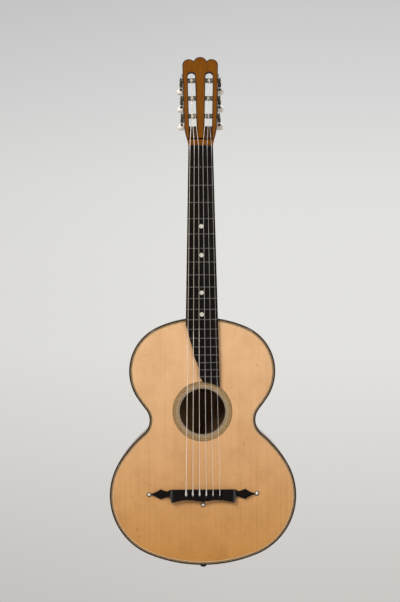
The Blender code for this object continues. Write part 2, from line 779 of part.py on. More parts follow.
def worm_rings():
    """Rings along Y of a worm with a right-handed thread and its shaft, from front to back."""
    lead = gear_lead()
    edges = ((-THREAD_FOOT / 2, WORM_ROOT), (-THREAD_TOP / 2, WORM_OUTER))
    edges += ((THREAD_TOP / 2, WORM_OUTER), (THREAD_FOOT / 2, WORM_ROOT))
    reach = math.ceil(WORM_HALF / lead) + 1
    rows = [(turn * lead + y, radius) for turn in range(-reach - 1, reach + 1) for y, radius in edges]
    rings = []
    front = -(WORM_HALF + SEAT + LUG_THICK + SEAT)
    for y in (front, -WORM_HALF):
        rings.append([(SHAFT_RADIUS, y)] * (WORM_SIDES + 1))
    rings.append([(WORM_ROOT, -WORM_HALF)] * (WORM_SIDES + 1))
    for y, radius in rows:
        points = []
        for i in range(WORM_SIDES + 1):
            along = y + lead * i / WORM_SIDES
            inside = -WORM_HALF < along < WORM_HALF
            points.append((radius if inside else WORM_ROOT, min(max(along, -WORM_HALF), WORM_HALF)))
        rings.append(points)
    rings.append([(WORM_ROOT, WORM_HALF)] * (WORM_SIDES + 1))
    for y in (WORM_HALF, SHAFT_END):
        rings.append([(SHAFT_RADIUS, y)] * (WORM_SIDES + 1))
    turns = [2 * math.pi * i / WORM_SIDES for i in range(WORM_SIDES + 1)]
    return [
        [(radius * math.sin(turn), y, radius * math.cos(turn)) for turn, (radius, y) in zip(turns, points)]
        for points in rings
    ]


def worm_mesh():
    """The worm's skin. Each row ends one lead further on, where the row of the next turn starts."""
    work = bmesh.new()
    rows = [[work.verts.new(point) for point in points] for points in worm_rings()]
    for low_row, high_row in zip(rows, rows[1:]):
        for i in range(WORM_SIDES):
            work.faces.new((low_row[i], low_row[i + 1], high_row[i + 1], high_row[i]))
    work.faces.new(rows[0][:-1])
    work.faces.new(rows[-1][:-1])
    bmesh.ops.remove_doubles(work, verts=work.verts, dist=1e-7)
    bmesh.ops.dissolve_degenerate(work, edges=work.edges, dist=1e-7)
    bmesh.ops.recalc_face_normals(work, faces=work.faces)
    mesh = bpy.data.meshes.new("worm")
    work.to_mesh(mesh)
    work.free()
    return mesh


def machine_out():
    """How far outside the headstock's side face the worm's axis and the gear's middle lie."""
    return SEAT + PLATE_THICK + SEAT + WORM_OUTER


def make_tuners(sides):
    """Six tuning machines on two plates: rollers with gears, worms on shafts, and buttons."""
    for word, side in (("bass", -1), ("treble", 1)):
        face = sides[side]
        across = Matrix.Rotation(-side * math.pi / 2, 4, "Z")
        first = TUNER_PLACES[0] - HEAD_SHOULDER - WORM_DROP
        last = TUNER_PLACES[-1] - HEAD_SHOULDER
        half = TUNER_PLATE_WIDTH / 2
        low, high = first - TUNER_PLATE_END / 2, last + TUNER_PLATE_END / 2
        outline = [(-half, low + half / 2), (-half / 2, low), (half / 2, low), (half, low + half / 2)]
        outline += [(half, high - half / 2), (half / 2, high), (-half / 2, high), (-half, high - half / 2)]
        bore = ROLLER_RADIUS + RUN
        rounds = [ring(bore, (0.0, place - HEAD_SHOULDER), ROLLER_SIDES) for place in TUNER_PLACES]
        plate = prism(f"tuner_plate_{word}", [outline, *rounds], SEAT, SEAT + PLATE_THICK, "dark_brass", face)
        plate.matrix_basis = across @ plate.matrix_basis
        lugs = []
        holes = []
        out = machine_out()
        for place in TUNER_PLACES:
            z = place - HEAD_SHOULDER - WORM_DROP
            for end in (-1, 1):
                near = end * (WORM_HALF + SEAT)
                far = end * (WORM_HALF + SEAT + LUG_THICK)
                inner = side * (SEAT + PLATE_THICK / 2)
                outer = side * (out + LUG_HALF)
                low_corner = (min(inner, outer), min(near, far), z - LUG_HALF)
                high_corner = (max(inner, outer), max(near, far), z + LUG_HALF)
                lugs.append(box("lug", low_corner, high_corner))
            reach = WORM_HALF + CUT_PAST
            start = (side * out, -reach, z)
            end = (side * out, reach, z)
            holes.append(cylinder("shaft_hole", SHAFT_RADIUS + RUN, start, end, WORM_SIDES))
        combine(plate, with_parent(joined(f"{word}_lugs", lugs), face), "UNION")
        combine(plate, with_parent(joined(f"{word}_shaft_holes", holes), face), "DIFFERENCE")
        for count, place in enumerate(TUNER_PLACES, 1):
            make_tuner(f"{word}_{count}", side, face, place)


def make_tuner(name, side, face, place):
    """One machine. The roller's axis is its own Y, and so is the worm's."""
    out = machine_out()
    z = place - HEAD_SHOULDER
    axle = Matrix.Translation((0.0, 0.0, z)) @ Matrix.Rotation(-side * math.pi / 2, 4, "Z")
    inner_end = -(CHEEK + SLOT_WIDTH + ROLLER_SEAT - SEAT)
    ends = ((0.0, inner_end, 0.0), (0.0, out, 0.0))
    roller = cylinder(f"roller_{name}", ROLLER_RADIUS, *ends, ROLLER_SIDES, "aged_steel", face)
    roller.matrix_basis = axle
    gear = prism(f"gear_{name}", [gear_outline()], out - GEAR_THICK / 2, out + GEAR_THICK / 2)
    gear.parent = face
    gear.matrix_basis = axle @ gear.matrix_basis
    combine(roller, gear, "UNION")
    spindle = Matrix.Translation((side * out, 0.0, z - WORM_DROP))
    add(f"worm_{name}", worm_mesh(), "dark_brass", face, spindle)
    width, depth, height = BUTTON_SIZE
    low = (-width / 2, SHAFT_END + SEAT, -height / 2)
    high = (width / 2, SHAFT_END + SEAT + depth, height / 2)
    button = box(f"button_{name}", low, high, "pearl", face, spindle)
    bevel(button, BUTTON_ROUND, 3)
    button.data.shade_smooth()


def bridge_outline():
    """The whole bridge: block, necks and diamond wings, with two arches below."""
    half = [
        (BRIDGE_HALF, BRIDGE_TOP), (NECK_X, WING_Z + NECK_HALF), (DIAMOND_X, WING_Z + DIAMOND_HALF),
        (WING_TIP, WING_Z + WING_TIP_HALF), (WING_TIP, WING_Z - WING_TIP_HALF),
        (DIAMOND_X, WING_Z - DIAMOND_HALF), (NECK_X, WING_Z - NECK_HALF),
        (BRIDGE_SHOULDER_HALF, WING_Z - NECK_HALF),
    ]
    half += bridge_foot()
    return half + [(-x, z) for x, z in reversed(half) if x > 0]


def bridge_foot():
    """The treble half of the block's lower edge, from its corner to the middle."""
    corners = []
    span = BRIDGE_CORNER_HALF
    for i in range(ARCH_STEPS + 1):
        share = i / ARCH_STEPS
        x = span * (1.0 - share)
        line = BRIDGE_CORNER + (BRIDGE_MIDDLE - BRIDGE_CORNER) * share
        corners.append((x, line + BRIDGE_ARCH * 4 * share * (1.0 - share)))
    return corners


def block_outline():
    half = [(BRIDGE_HALF, BRIDGE_TOP), (BRIDGE_SHOULDER_HALF, WING_Z - NECK_HALF)] + bridge_foot()
    return half + [(-x, z) for x, z in reversed(half) if x > 0]


def bridge_face():
    """Distance of the bridge's top from the soundboard's face."""
    return SEAT + BRIDGE_HEIGHT


def saddle_top():
    return bridge_face() + SADDLE_RISE


def make_bridge():
    """Bridge with its wings, saddle and pins."""
    holes = key_holes()
    bridge = prism("bridge", [bridge_outline(), *holes], -(SEAT + WING_HEIGHT), -SEAT, "ebony")
    block = prism("bridge_block", [block_outline(), *holes], -bridge_face(), -(SEAT + WING_HEIGHT / 2))
    combine(bridge, block, "UNION")
    floor = -(bridge_face() - SADDLE_DEPTH)
    saddle_half = SADDLE_WIDTH / 2
    low = (-SADDLE_HALF - SEAT, -bridge_face() - CUT_PAST, SADDLE_PLACE - saddle_half - SEAT)
    high = (SADDLE_HALF + SEAT, floor + SEAT, SADDLE_PLACE + saddle_half + SEAT)
    combine(bridge, box("saddle_slot", low, high), "DIFFERENCE")
    low = (-SADDLE_HALF, -saddle_top(), SADDLE_PLACE - saddle_half)
    high = (SADDLE_HALF, floor, SADDLE_PLACE + saddle_half)
    box("saddle", low, high, "ebony")
    for i, string_radius in enumerate(STRING_RADII):
        make_pin(i, string_radius)


def make_pin(index, string_radius):
    """A turned bridge pin, its head cut flat where the string passes."""
    face = bridge_face() + SEAT
    profile = [
        (0.0, PIN_DOME), (PIN_HEAD * 0.7, PIN_DOME * 0.8), (PIN_HEAD, PIN_DOME * 0.3), (PIN_HEAD, 0.0),
        (PIN_RADIUS, 0.0), (PIN_RADIUS * 0.8, -PIN_LENGTH), (0.0, -PIN_LENGTH),
    ]
    x = string_place(index, SADDLE_SPACING)
    # Local Z, along which the profile runs, points out of the soundboard.
    out = Matrix.Rotation(math.radians(90.0), 4, "X")
    at = Matrix.Translation((x, -face, PIN_PLACE)) @ out
    number = len(STRING_RADII) - index
    pin = turned(f"bridge_pin_{number}", profile, "ebony", at, PIN_STEPS)
    flat = string_hole_place(string_radius) - string_radius - SEAT
    low = (x - PIN_HEAD, -face - CUT_PAST, flat)
    high = (x + PIN_HEAD, 0.0, flat + PIN_HEAD)
    combine(pin, box(f"pin_flat_{number}", low, high), "DIFFERENCE")


def make_end_pin():
    """The strap button's stem goes up into the tail block, and its dome shows below."""
    profile = [
        (0.0, END_PIN_LENGTH), (END_PIN_RADIUS, END_PIN_LENGTH), (END_PIN_RADIUS, -SEAT),
        (END_PIN_HEAD, -SEAT), (END_PIN_HEAD, -END_PIN_DOME * 0.4),
        (END_PIN_HEAD * 0.7, -END_PIN_DOME * 0.85), (0.0, -END_PIN_DOME),
    ]
    at = Matrix.Translation((0.0, BACK / 2, body_bottom()))
    turned("end_pin", profile, "ebony", at, SMALL_STEPS)


def tuner_of(index):
    """The side and the count, from the nut upwards, of the machine that winds a string."""
    last = len(STRING_RADII) - 1
    return (-1, index) if index < len(TUNER_PLACES) else (1, last - index)


def string_path(index, radius, sides):
    """A string's middle line in world coordinates, and how many of its points are wound on the roller."""
    x_bridge = string_place(index, SADDLE_SPACING)
    x_nut = string_place(index, NUT_SPACING)
    hole = string_hole_place(radius)
    over_saddle = saddle_top() + SEAT + radius
    over_nut = nut_top() + SEAT + radius
    leave = bridge_face() + radius + SEAT
    half_saddle = SADDLE_WIDTH / 2
    points = [
        Vector((x_bridge, PLATE + STRING_BELOW, hole)),
        Vector((x_bridge, -leave, hole)),
        Vector((x_bridge, -over_saddle, SADDLE_PLACE - half_saddle)),
        Vector((x_bridge, -over_saddle, SADDLE_PLACE + half_saddle)),
        Vector((x_nut, -over_nut, 0.0)),
        Vector((x_nut, -over_nut, NUT_LENGTH)),
    ]
    side, count = tuner_of(index)
    face = sides[side].matrix_world
    place = TUNER_PLACES[count] - HEAD_SHOULDER
    wind = ROLLER_RADIUS + SEAT + radius
    nut = face.inverted() @ points[-1]
    # The string meets the winding circle at the tangent from the nut.
    run = Vector((nut.y, nut.z - place))
    tangent = math.acos(wind / run.length)
    bearing = math.atan2(run.y, run.x)
    start = bearing - tangent
    middle = -side * (CHEEK + SLOT_WIDTH / 2)
    pitch = 2 * radius + WINDING_GAP
    total = round(WINDING_TURNS * WINDING_STEPS)
    for step in range(total + 1):
        angle = start - 2 * math.pi * step / WINDING_STEPS
        drift = -side * pitch * (step / WINDING_STEPS - WINDING_TURNS / 2)
        points.append(face @ Vector((middle + drift, wind * math.cos(angle), place + wind * math.sin(angle))))
    return points, total + 1


def least_gap(points, radius):
    """The least gap between a winding's turns."""
    line = np.array([list(point) for point in points])
    away = np.linalg.norm(line[:, None, :] - line[None, :, :], axis=2)
    count = len(points)
    near = np.abs(np.arange(count)[:, None] - np.arange(count)[None, :]) < WINDING_STEPS / 2
    away[near] = 1.0
    return away.min() - 2 * radius


def make_strings(sides):
    """Six strings, each one tube from its bridge pin over saddle and nut to its turns on the roller."""
    bpy.context.view_layer.update()
    for index, (name, radius) in enumerate(zip(STRING_NAMES, STRING_RADII)):
        points, wound = string_path(index, radius, sides)
        curve = bpy.data.curves.new(name, "CURVE")
        curve.dimensions = "3D"
        curve.bevel_depth = radius
        curve.bevel_resolution = 1
        curve.use_fill_caps = True
        spline = curve.splines.new("POLY")
        spline.points.add(len(points) - 1)
        for slot, point in zip(spline.points, points):
            slot.co = (*point, 1.0)
            slot.radius = 1.0
        add(name, curve, "bronze" if index < WOUND_STRINGS else "steel")
        print(f"{name}: least gap between turns {least_gap(points[-wound:], radius) * 1000:.2f} mm")


def make_guitar():
    make_plates()
    make_sides()
    make_bars()
    make_board()
    make_neck()
    sides = make_headstock()
    make_bridge()
    make_end_pin()
    make_tuners(sides)
    make_strings(sides)


make_guitar()
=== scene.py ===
"""Looks of the small slotted-head guitar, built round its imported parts.

Everything is in metres in the parts' own frame: +Z runs up the neck from the nut, +Y into the body, and
+X is the treble side.
"""

import math

import bmesh
import bpy
import numpy as np
from mathutils import Matrix, Vector


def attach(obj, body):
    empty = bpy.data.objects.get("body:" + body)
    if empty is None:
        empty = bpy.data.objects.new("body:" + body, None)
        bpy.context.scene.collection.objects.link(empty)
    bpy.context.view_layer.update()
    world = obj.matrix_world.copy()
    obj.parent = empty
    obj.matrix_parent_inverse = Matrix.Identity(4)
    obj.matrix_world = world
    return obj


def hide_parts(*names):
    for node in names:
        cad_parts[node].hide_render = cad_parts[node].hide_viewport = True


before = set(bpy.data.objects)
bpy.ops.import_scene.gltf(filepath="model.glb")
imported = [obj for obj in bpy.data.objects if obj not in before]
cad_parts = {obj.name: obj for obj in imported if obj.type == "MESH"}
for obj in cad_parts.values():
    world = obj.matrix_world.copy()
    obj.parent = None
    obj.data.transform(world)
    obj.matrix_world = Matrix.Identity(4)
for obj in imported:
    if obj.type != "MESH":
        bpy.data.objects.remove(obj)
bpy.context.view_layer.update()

bl_info = {
    "name": "Slotted-head guitar",
    "version": (1, 0, 0),
    "blender": (4, 5, 0),
    "location": "3D View > Sidebar > Guitar",
    "description": "Builds the visible pieces of a small steel-strung guitar",
    "category": "Add Mesh",
}

ROOT = "instrument"
SEAT = 0.0003
SIDES = (("bass", -1), ("treble", 1))

# Body outline as tangent arcs down the treble side: radius, turn in degrees; below zero bends inwards
BODY_ARCS = ((0.2044, 23.7), (0.0901, 100.0), (0.298, 5.0), (-0.0321, 88.4), (0.2284, 17.4), (0.1187, 100.0))
ARC_STEP = 3.0

# The fingerboard's bass edge: distance from the centre line, and the step's start and end above the hole
BOARD_STEPS = ((0.0246, 0.1460, 0.1403), (0.0160, 0.1124, 0.1050), (0.0060, 0.0802, 0.0660))
BOARD_CUT = 0.1610

STRING_NAMES = ("string_6_e", "string_5_a", "string_4_d", "string_3_g", "string_2_b", "string_1_e")
STRING_RADII = (0.00060, 0.00052, 0.00045, 0.00040, 0.00032, 0.00028)
# A wrapped end's thickness along it, as shares of its fullest: hole to saddle, over it, then past it
WRAP_RISE = (0.45, 0.78, 0.92, 0.98, 1.0, 1.0, 0.99, 0.97, 0.94, 0.90, 0.85, 0.78)
WRAP_MIDDLE = (0.70, 0.66)
WRAP_END = (0.62, 0.58, 0.53, 0.46, 0.38, 0.28)
WRAP_RADII = (0.0021, 0.0018, 0.0017, 0.0015, 0.0011, 0.0010)
# Where the wrap starts above its hole's middle, and ends above the saddle's
WRAP_START = 0.0006
WRAP_PAST = 0.0065
# How far from a corner a string starts to bend
BEND_REACH = 0.0012
TUNER_PLACES = (0.0595, 0.0945, 0.1295)

# Studio: the camera's place and roll, the floor, the light, and the backdrop from bottom to top, its ends
# darker as painted falloff of light
CAMERA_PLACE = (-0.0032, -3.5, -0.2846)
CAMERA_ROLL = -0.38
FLOOR = -1.12
FLOOR_RADIUS = 1.5
WORLD_STRENGTH = 0.24
# Each lamp: its place, what it is aimed at, its two sizes, and its power in watts
LAMPS = (
    ("key", (-1.9, -2.3, 1.5), (0.0, 0.0, -0.35), (1.3, 1.3), 104.0),
    ("fill", (2.1, -2.3, 0.5), (0.0, 0.0, -0.4), (1.3, 1.8), 33.0),
    ("rear", (0.9, 2.6, 1.3), (0.0, 0.0, -0.35), (1.4, 1.4), 60.0),
)
BACKDROP_RISE = 0.159
BACKDROP = ((0.0, "#cac7c4"), (0.09, "#cfccc9"), (0.25, "#dad8d5"), (0.42, "#e3e2df"), (0.59, "#e3e2e0"),
            (0.70, "#e0e0de"), (0.76, "#dcdcda"), (0.84, "#d6d6d6"), (0.92, "#d0d0d0"), (1.0, "#c9c9c9"))

# Body: thickness of soundboard and back, of the ribs, the bindings' depth, and widths in the edge band
PLATE = 0.0028
RIB = 0.0022
BINDING_DEPTH = 0.0060
LIGHT_LINE = 0.0009
PURFLING_PITCH = 0.0018
# Thin lines of the rosette, and where its lighter inner band ends and its middle line ends
ROSETTE_LINE = 0.0006
INNER_BAND = 0.0056
MIDDLE_LINE = 0.0060

# Headstock, in its own plane above its start; a half is a width from the centre line
HEAD_THICK = 0.0200
HEAD_START = 0.0053
HEAD_BASE_HALF = 0.0224
HEAD_SHOULDER = 0.0380
HEAD_SHOULDER_HALF = 0.0306
# The cut between the lobes: place across and up
CUSP = (0.0122, 0.1651)
MIDDLE_LOBE_RISE = 0.0084
SIDE_LOBE_RADIUS = 0.0123
# Wood outside a string slot, then the slot's width and ends, and the ramp below it
CHEEK = 0.0093
SLOT_WIDTH = 0.0140
SLOT_BOTTOM = 0.0385
SLOT_TOP = 0.1428
RAMP_START = 0.0110
RAMP_DEPTH = 0.0062
# The rim of painted shade round the headstock's face, and the height at which it starts
SHADE_RIM_WIDTH = 0.0017
SHADE_RIM_START = 0.0190
# Neck and heel; fullness shapes the round back, and swell squares it off at the heel
NECK_DEPTH = 0.0200
HEEL_DEPTH = 0.0810
HEEL_TIP_HALF = 0.0120
HEEL_FLAT = 0.0120
HEEL_START = -0.2620
NECK_SIDES = 40
NECK_FULLNESS = 0.85
HEEL_SWELL = 1.25

# Fingerboard: its face, the frets, and the frets that a pearl dot stands below
BOARD_FACE = -0.0053
FRET_COUNT = 19
FRET_HEIGHT = 0.0020
FRET_INSET = 0.0004
DOT_FRETS = (5, 7, 10, 12)
NUT_TOP = 0.0069
# The nut's side view as (height up the neck, depth)
NUT_PROFILE = ((0.0, -SEAT), (0.0, -0.0066), (0.0012, -0.0069), (0.0030, -0.0067), (0.0050, -0.0057),
               (0.0050, -SEAT))
NUT_DEPTH = 0.0050
# Half the board's width at the nut, what it gains per metre below, and half the width of its foot's tip
BOARD_HALF = 0.0229
BOARD_TAPER = 0.0220
BOARD_TIP = 0.0008
# How far along the bass edge its corners are drawn into curves
BOARD_EASE = 0.0022

# Bridge: heights above the soundboard, then places across it
BRIDGE_HEIGHT = 0.0082
WING_HEIGHT = 0.0032
BRIDGE_HALF = 0.0600
BRIDGE_SHOULDER_HALF = 0.0620
BRIDGE_CORNER_HALF = 0.0586
NECK_X = 0.0665
NECK_HALF = 0.0050
DIAMOND_X = 0.0790
DIAMOND_HALF = 0.0092
WING_TIP = 0.0968
WING_TIP_HALF = 0.0006
BRIDGE_ARCH = 0.0045
# From the saddle to the bridge's upper edge, lower corner, lower middle and wings
BRIDGE_TOP = 0.0030
BRIDGE_CORNER = -0.0215
BRIDGE_MIDDLE = -0.0200
BRIDGE_WING = -0.0055
SADDLE_HALF = 0.0365
SADDLE_WIDTH = 0.0026
SADDLE_RISE = 0.0028
SADDLE_SEAT = 0.0040
PIN_RADIUS = 0.0024
SADDLE_SPACING = 0.0125
NUT_SPACING = 0.00795
# Turned pieces as (radius, height): the bridge pin, the pearl beside the bridge, and the end pin
PIN_PROFILE = ((0.0, 0.0026), (0.0012, 0.0025), (0.0022, 0.0021), (0.0030, 0.0014), (0.0035, 0.0006),
               (0.0036, 0.0), (0.0024, 0.0), (0.0022, -0.010), (0.0019, -0.020), (0.0, -0.020))
INLAY_PROFILE = ((0.0, 0.0013), (0.0012, 0.0012), (0.0022, 0.0008), (0.0029, 0.0003), (0.0031, -0.0005),
                 (0.0, -0.0005))
END_PIN_PROFILE = ((0.0, 0.0091), (0.0018, 0.0090), (0.0034, 0.0087), (0.0047, 0.0080), (0.0058, 0.0066),
                   (0.0064, 0.0052), (0.0066, 0.0038), (0.0064, 0.0026), (0.0058, 0.0018), (0.0050, 0.0012),
                   (0.0048, 0.0006), (0.0052, 0.0), (0.0036, 0.0), (0.0036, -0.010), (0.0, -0.010))

# Tuning machines: roller and string turns, plate, gear, worm with its shaft, lugs and button
ROLLER_RADIUS = 0.0046
ROLLER_REACH = 0.0280
WINDING_TURNS = 2.0
WINDING_GAP = 0.00055
PLATE_THICK = 0.0012
TUNER_PLATE_WIDTH = 0.0150
TUNER_PLATE_END = 0.0140
MACHINE_OUT = 0.0042
TEETH = 14
GEAR_OUTER = 0.0060
GEAR_ROOT = 0.0050
GEAR_PITCH = 0.0055
GEAR_THICK = 0.0024
TOOTH_TIP = 0.0008
TOOTH_FOOT = 0.0010
WORM_DROP = 0.0077
WORM_OUTER = 0.0024
WORM_ROOT = 0.0014
WORM_HALF = 0.0036
THREAD_CREST = 0.00055
THREAD_FOOT = 0.00095
SHAFT_RADIUS = 0.0012
SHAFT_END = 0.0270
LUG_THICK = 0.0018
LUG_HALF = 0.0026
BUTTON_ENDS = (0.0273, 0.0398)
# How far a plate's screws stand from its ends and from the middle between two machines
SCREW_SHIFT = 0.0040
SCREW_PROFILE = ((0.0, 0.0009), (0.0008, 0.00085), (0.0015, 0.0005), (0.0018, 0.0), (0.0018, -0.0002),
                 (0.0, -0.0002))
AXLE_SCREW_PROFILE = ((0.0, 0.0010), (0.0010, 0.0009), (0.0019, 0.0004), (0.0021, 0.0), (0.0, 0.0))
COLLAR_PROFILE = ((0.0, 0.0006), (0.0022, 0.0006), (0.0026, 0.0002), (0.0026, -0.0005), (0.0, -0.0005))


def metres(name, default, text):
    """A length that a user may change."""
    return bpy.props.FloatProperty(name=name, description=text, default=default, unit="LENGTH", precision=5)


def hexed(code):
    """A written sRGB colour such as #dba870 as linear RGB."""
    parts = [int(code[i:i + 2], 16) / 255 for i in (1, 3, 5)]
    return tuple(c / 12.92 if c <= 0.04045 else ((c + 0.055) / 1.055) ** 2.4 for c in parts)


def tint(name, code, text):
    """A colour that a user may change."""
    return bpy.props.FloatVectorProperty(name=name, description=text, default=hexed(code), subtype="COLOR")


class GuitarSizes(bpy.types.PropertyGroup):
    """Lengths that the pieces share."""

    scale: metres("Scale length", 0.638, "From the nut to the saddle")
    body_top: metres("Body top", -0.3153, "Height of the body's upper end")
    depth: metres("Body depth", 0.088, "From the soundboard to the back")
    hole_place: metres("Hole place", -0.490, "Height of the sound hole's middle")
    hole: metres("Hole radius", 0.042, "Radius of the sound hole")
    rosette: metres("Rosette radius", 0.0554, "Outer radius of the rosette")
    binding: metres("Binding width", 0.0023, "Width of the dark edge binding")
    purfling: metres("Purfling width", 0.0037, "Width of the patterned band inside the binding")
    fret: metres("Fret width", 0.0021, "Width of a fret's crown")
    dot: metres("Dot radius", 0.0040, "Radius of a pearl position dot")
    head_tilt: bpy.props.FloatProperty(
        name="Head tilt", description="How far the headstock leans back",
        default=math.radians(13.0), subtype="ANGLE")
    head_flare: bpy.props.FloatProperty(
        name="Head flare", description="How far each side of the headstock leans out",
        default=math.radians(1.37), subtype="ANGLE")


class GuitarColours(bpy.types.PropertyGroup):
    """Colours of the finishes."""

    spruce: tint("Spruce", "#edbd8c", "Upper part of the soundboard under aged varnish")
    spruce_ring: tint("Spruce ring", "#cf9a66", "Late wood between the growth rings, above")
    # Painted shade: the lower colours are darker because the light falls off towards the body's foot
    lower_spruce_painted_shade: tint("Lower spruce", "#c68a40", "Lower part of the soundboard")
    lower_ring_spruce_painted_shade: tint("Lower spruce ring", "#a26826", "Late wood between the growth rings, below")
    neck: tint("Neck", "#7d4609", "Varnished cedar of the neck and headstock")
    sides: tint("Sides", "#7c4520", "Mahogany of the ribs and back")
    ebony: tint("Ebony", "#110c0a", "Fingerboard, bridge, nut and pins")
    binding: tint("Binding", "#3a2a1c", "Dark outer binding")
    pearl: tint("Pearl", "#f0eadc", "Mother of pearl")
    plate: tint("Tuner metal", "#6b6352", "Darkened brass of the tuning machines")
    # Painted glint: both string colours are near white, standing in for the light the wires reflect
    bronze_with_painted_glint: tint("Wound string", "#fff4e6", "Wrap of the bass strings")
    steel: tint("Plain string", "#f6f2ec", "Treble strings")


def sizes():
    """The lengths that the user may change."""
    return bpy.context.scene.guitar_sizes


def colours():
    """The colours that the user may change."""
    return bpy.context.scene.guitar_colours


# Node trees and finishes

def node(tree, kind, inputs=None, **settings):
    """Add a node with its settings and links; a node given as an input stands for its first output."""
    made = tree.nodes.new(kind)
    for key, value in settings.items():
        setattr(made, key, value)
    for key, value in (inputs or {}).items():
        socket = made.inputs[key]
        if isinstance(value, bpy.types.Node):
            value = value.outputs[0]
        if isinstance(value, bpy.types.NodeSocket):
            tree.links.new(value, socket)
        elif socket.type == "RGBA":
            socket.default_value = (*value[:3], 1.0)
        else:
            socket.default_value = value
    return made


def new_finish(name, **sockets):
    """A material whose Principled shader has these sockets set, and its tree."""
    made = bpy.data.materials.new(name)
    made.use_nodes = True
    shader = made.node_tree.nodes["Principled BSDF"]
    for key, value in sockets.items():
        shader.inputs[key.replace("_", " ")].default_value = value
    return made, made.node_tree


def complete(made, colour, relief=None, depth=0.0, strength=1.0, roughness=None):
    """Give a finish its colour, and relief from a height of 0 to 1 that is depth metres deep."""
    tree = made.node_tree
    shader = tree.nodes["Principled BSDF"]
    tree.links.new(colour, shader.inputs["Base Color"])
    if relief is not None:
        raised = node(tree, "ShaderNodeBump", {"Height": relief, "Distance": depth, "Strength": strength})
        tree.links.new(raised.outputs["Normal"], shader.inputs["Normal"])
    if roughness is not None:
        tree.links.new(roughness.outputs[0], shader.inputs["Roughness"])
    return made


def stained(tree, where, low, high, strength, under, over):
    """Lay one colour over another where a pattern passes from low to high."""
    share = node(tree, "ShaderNodeMapRange", {0: where, 1: low, 2: high, 4: strength})
    return node(tree, "ShaderNodeMix", {0: share, 6: under, 7: over}, data_type="RGBA").outputs[2]


def streaks(tree, vector, across, along, detail=3.0):
    """Noise drawn out along Z; across and along are counts per metre."""
    scaled = node(tree, "ShaderNodeMapping", {"Vector": vector, "Scale": (across, across, along)})
    inputs = {"Vector": scaled, "Scale": 1.0, "Detail": detail, "Roughness": 0.55}
    return node(tree, "ShaderNodeTexNoise", inputs)


def toned_steps(tree, share, steps):
    """Colours along a share from 0 to 1, each step with its place."""
    ramp = node(tree, "ShaderNodeValToRGB", {"Fac": share})
    stops = ramp.color_ramp.elements
    while len(stops) < len(steps):
        stops.new(0.5)
    for stop, (place, code) in zip(stops, steps):
        stop.position = place
        stop.color = (*hexed(code), 1.0)
    return ramp.outputs["Color"]


def mirrored(tree, vector):
    """The vector with X folded over, as two halves cut from one board show it."""
    parts = node(tree, "ShaderNodeSeparateXYZ", {"Vector": vector})
    folded = node(tree, "ShaderNodeMath", {0: parts.outputs["X"], 1: 0.0}, operation="ABSOLUTE")
    return node(tree, "ShaderNodeCombineXYZ", {"X": folded, "Y": parts.outputs["Y"], "Z": parts.outputs["Z"]})


def varnished_spruce():
    """Spruce, quarter-split and varnished: straight fine lines, silky flecks, and painted shade that darkens
    it towards its foot.
    """
    made, tree = new_finish(
        "varnished_spruce", Roughness=0.42, IOR=1.5, Coat_Weight=0.20, Coat_Roughness=0.22)
    own = colours()
    place = node(tree, "ShaderNodeTexCoord").outputs["Object"]
    halves = mirrored(tree, place)
    # Growth rings are about 1.5 mm apart, drawn at 2.5 mm here so that they show.
    rings = streaks(tree, halves, 420.0, 2.5, 2.0)
    bands = streaks(tree, halves, 120.0, 2.0)
    silk = streaks(tree, halves, 60.0, 480.0, 2.0)
    clouds = node(tree, "ShaderNodeTexNoise", {
        "Vector": place, "Scale": 17.0, "Detail": 5.0, "Roughness": 0.62})
    share = 0.0
    for pattern, low, high, strength in ((rings, 0.40, 0.72, 0.28), (bands, 0.38, 0.72, 0.10),
                                         (silk, 0.48, 0.72, 0.10), (clouds, 0.42, 0.66, 0.34)):
        layer = node(tree, "ShaderNodeMapRange", {0: pattern, 1: low, 2: high, 4: strength})
        share = node(tree, "ShaderNodeMath", {0: share, 1: layer}, operation="ADD")
    # Painted shade: the board darkens from its upper bout to its foot, slowly at first, as the light falls
    # off downwards.
    height = node(tree, "ShaderNodeSeparateXYZ", {"Vector": place}).outputs["Z"]
    down = node(tree, "ShaderNodeMapRange", {0: height, 1: -0.36, 2: -0.77})
    down = node(tree, "ShaderNodeMath", {0: down, 1: 1.25}, operation="POWER")
    wood, ring_wood = (
        node(tree, "ShaderNodeMix", {0: down, 6: upper, 7: lower}, data_type="RGBA").outputs[2]
        for upper, lower in ((own.spruce, own.lower_spruce_painted_shade), (own.spruce_ring, own.lower_ring_spruce_painted_shade)))
    lined = node(tree, "ShaderNodeMix", {0: share, 6: wood, 7: ring_wood}, data_type="RGBA").outputs[2]
    # Small dents and dark spots from use, a few millimetres across.
    dents = node(tree, "ShaderNodeTexNoise", {
        "Vector": place, "Scale": 95.0, "Detail": 3.0, "Roughness": 0.5})
    worn = stained(tree, dents, 0.64, 0.76, 0.5, lined, hexed("#96602f"))
    return complete(made, worn, rings, 0.00002, 0.4)


def figured_wood(name, colour, dark, across, rough, coat, shine=1.5, sheen=(1.0, 1.0, 1.0, 1.0)):
    """A varnished hardwood with long pores and soft stripes along Z; old varnish warms the sheen."""
    made, tree = new_finish(
        name, Roughness=rough, IOR=shine, Specular_Tint=sheen, Coat_Weight=coat, Coat_Roughness=0.12)
    place = node(tree, "ShaderNodeTexCoord").outputs["Object"]
    stripes = streaks(tree, place, across, 3.5, 4.0)
    # Open pores are 0.2 mm wide and several long, drawn 0.5 mm wide here.
    pores = streaks(tree, place, 1500.0, 60.0, 2.0)
    clouds = streaks(tree, place, 22.0, 9.0)
    striped = node(tree, "ShaderNodeMapRange", {0: stripes, 1: 0.35, 2: 0.70, 4: 0.55})
    clouded = node(tree, "ShaderNodeMapRange", {0: clouds, 1: 0.40, 2: 0.70, 4: 0.25})
    share = node(tree, "ShaderNodeMath", {0: striped, 1: clouded}, operation="ADD")
    wood = node(tree, "ShaderNodeMix", {0: share, 6: colour, 7: dark}, data_type="RGBA").outputs[2]
    pored = stained(tree, pores, 0.62, 0.74, 0.45, wood, [c * 0.35 for c in dark])
    return complete(made, pored, pores, 0.00003, 0.35)


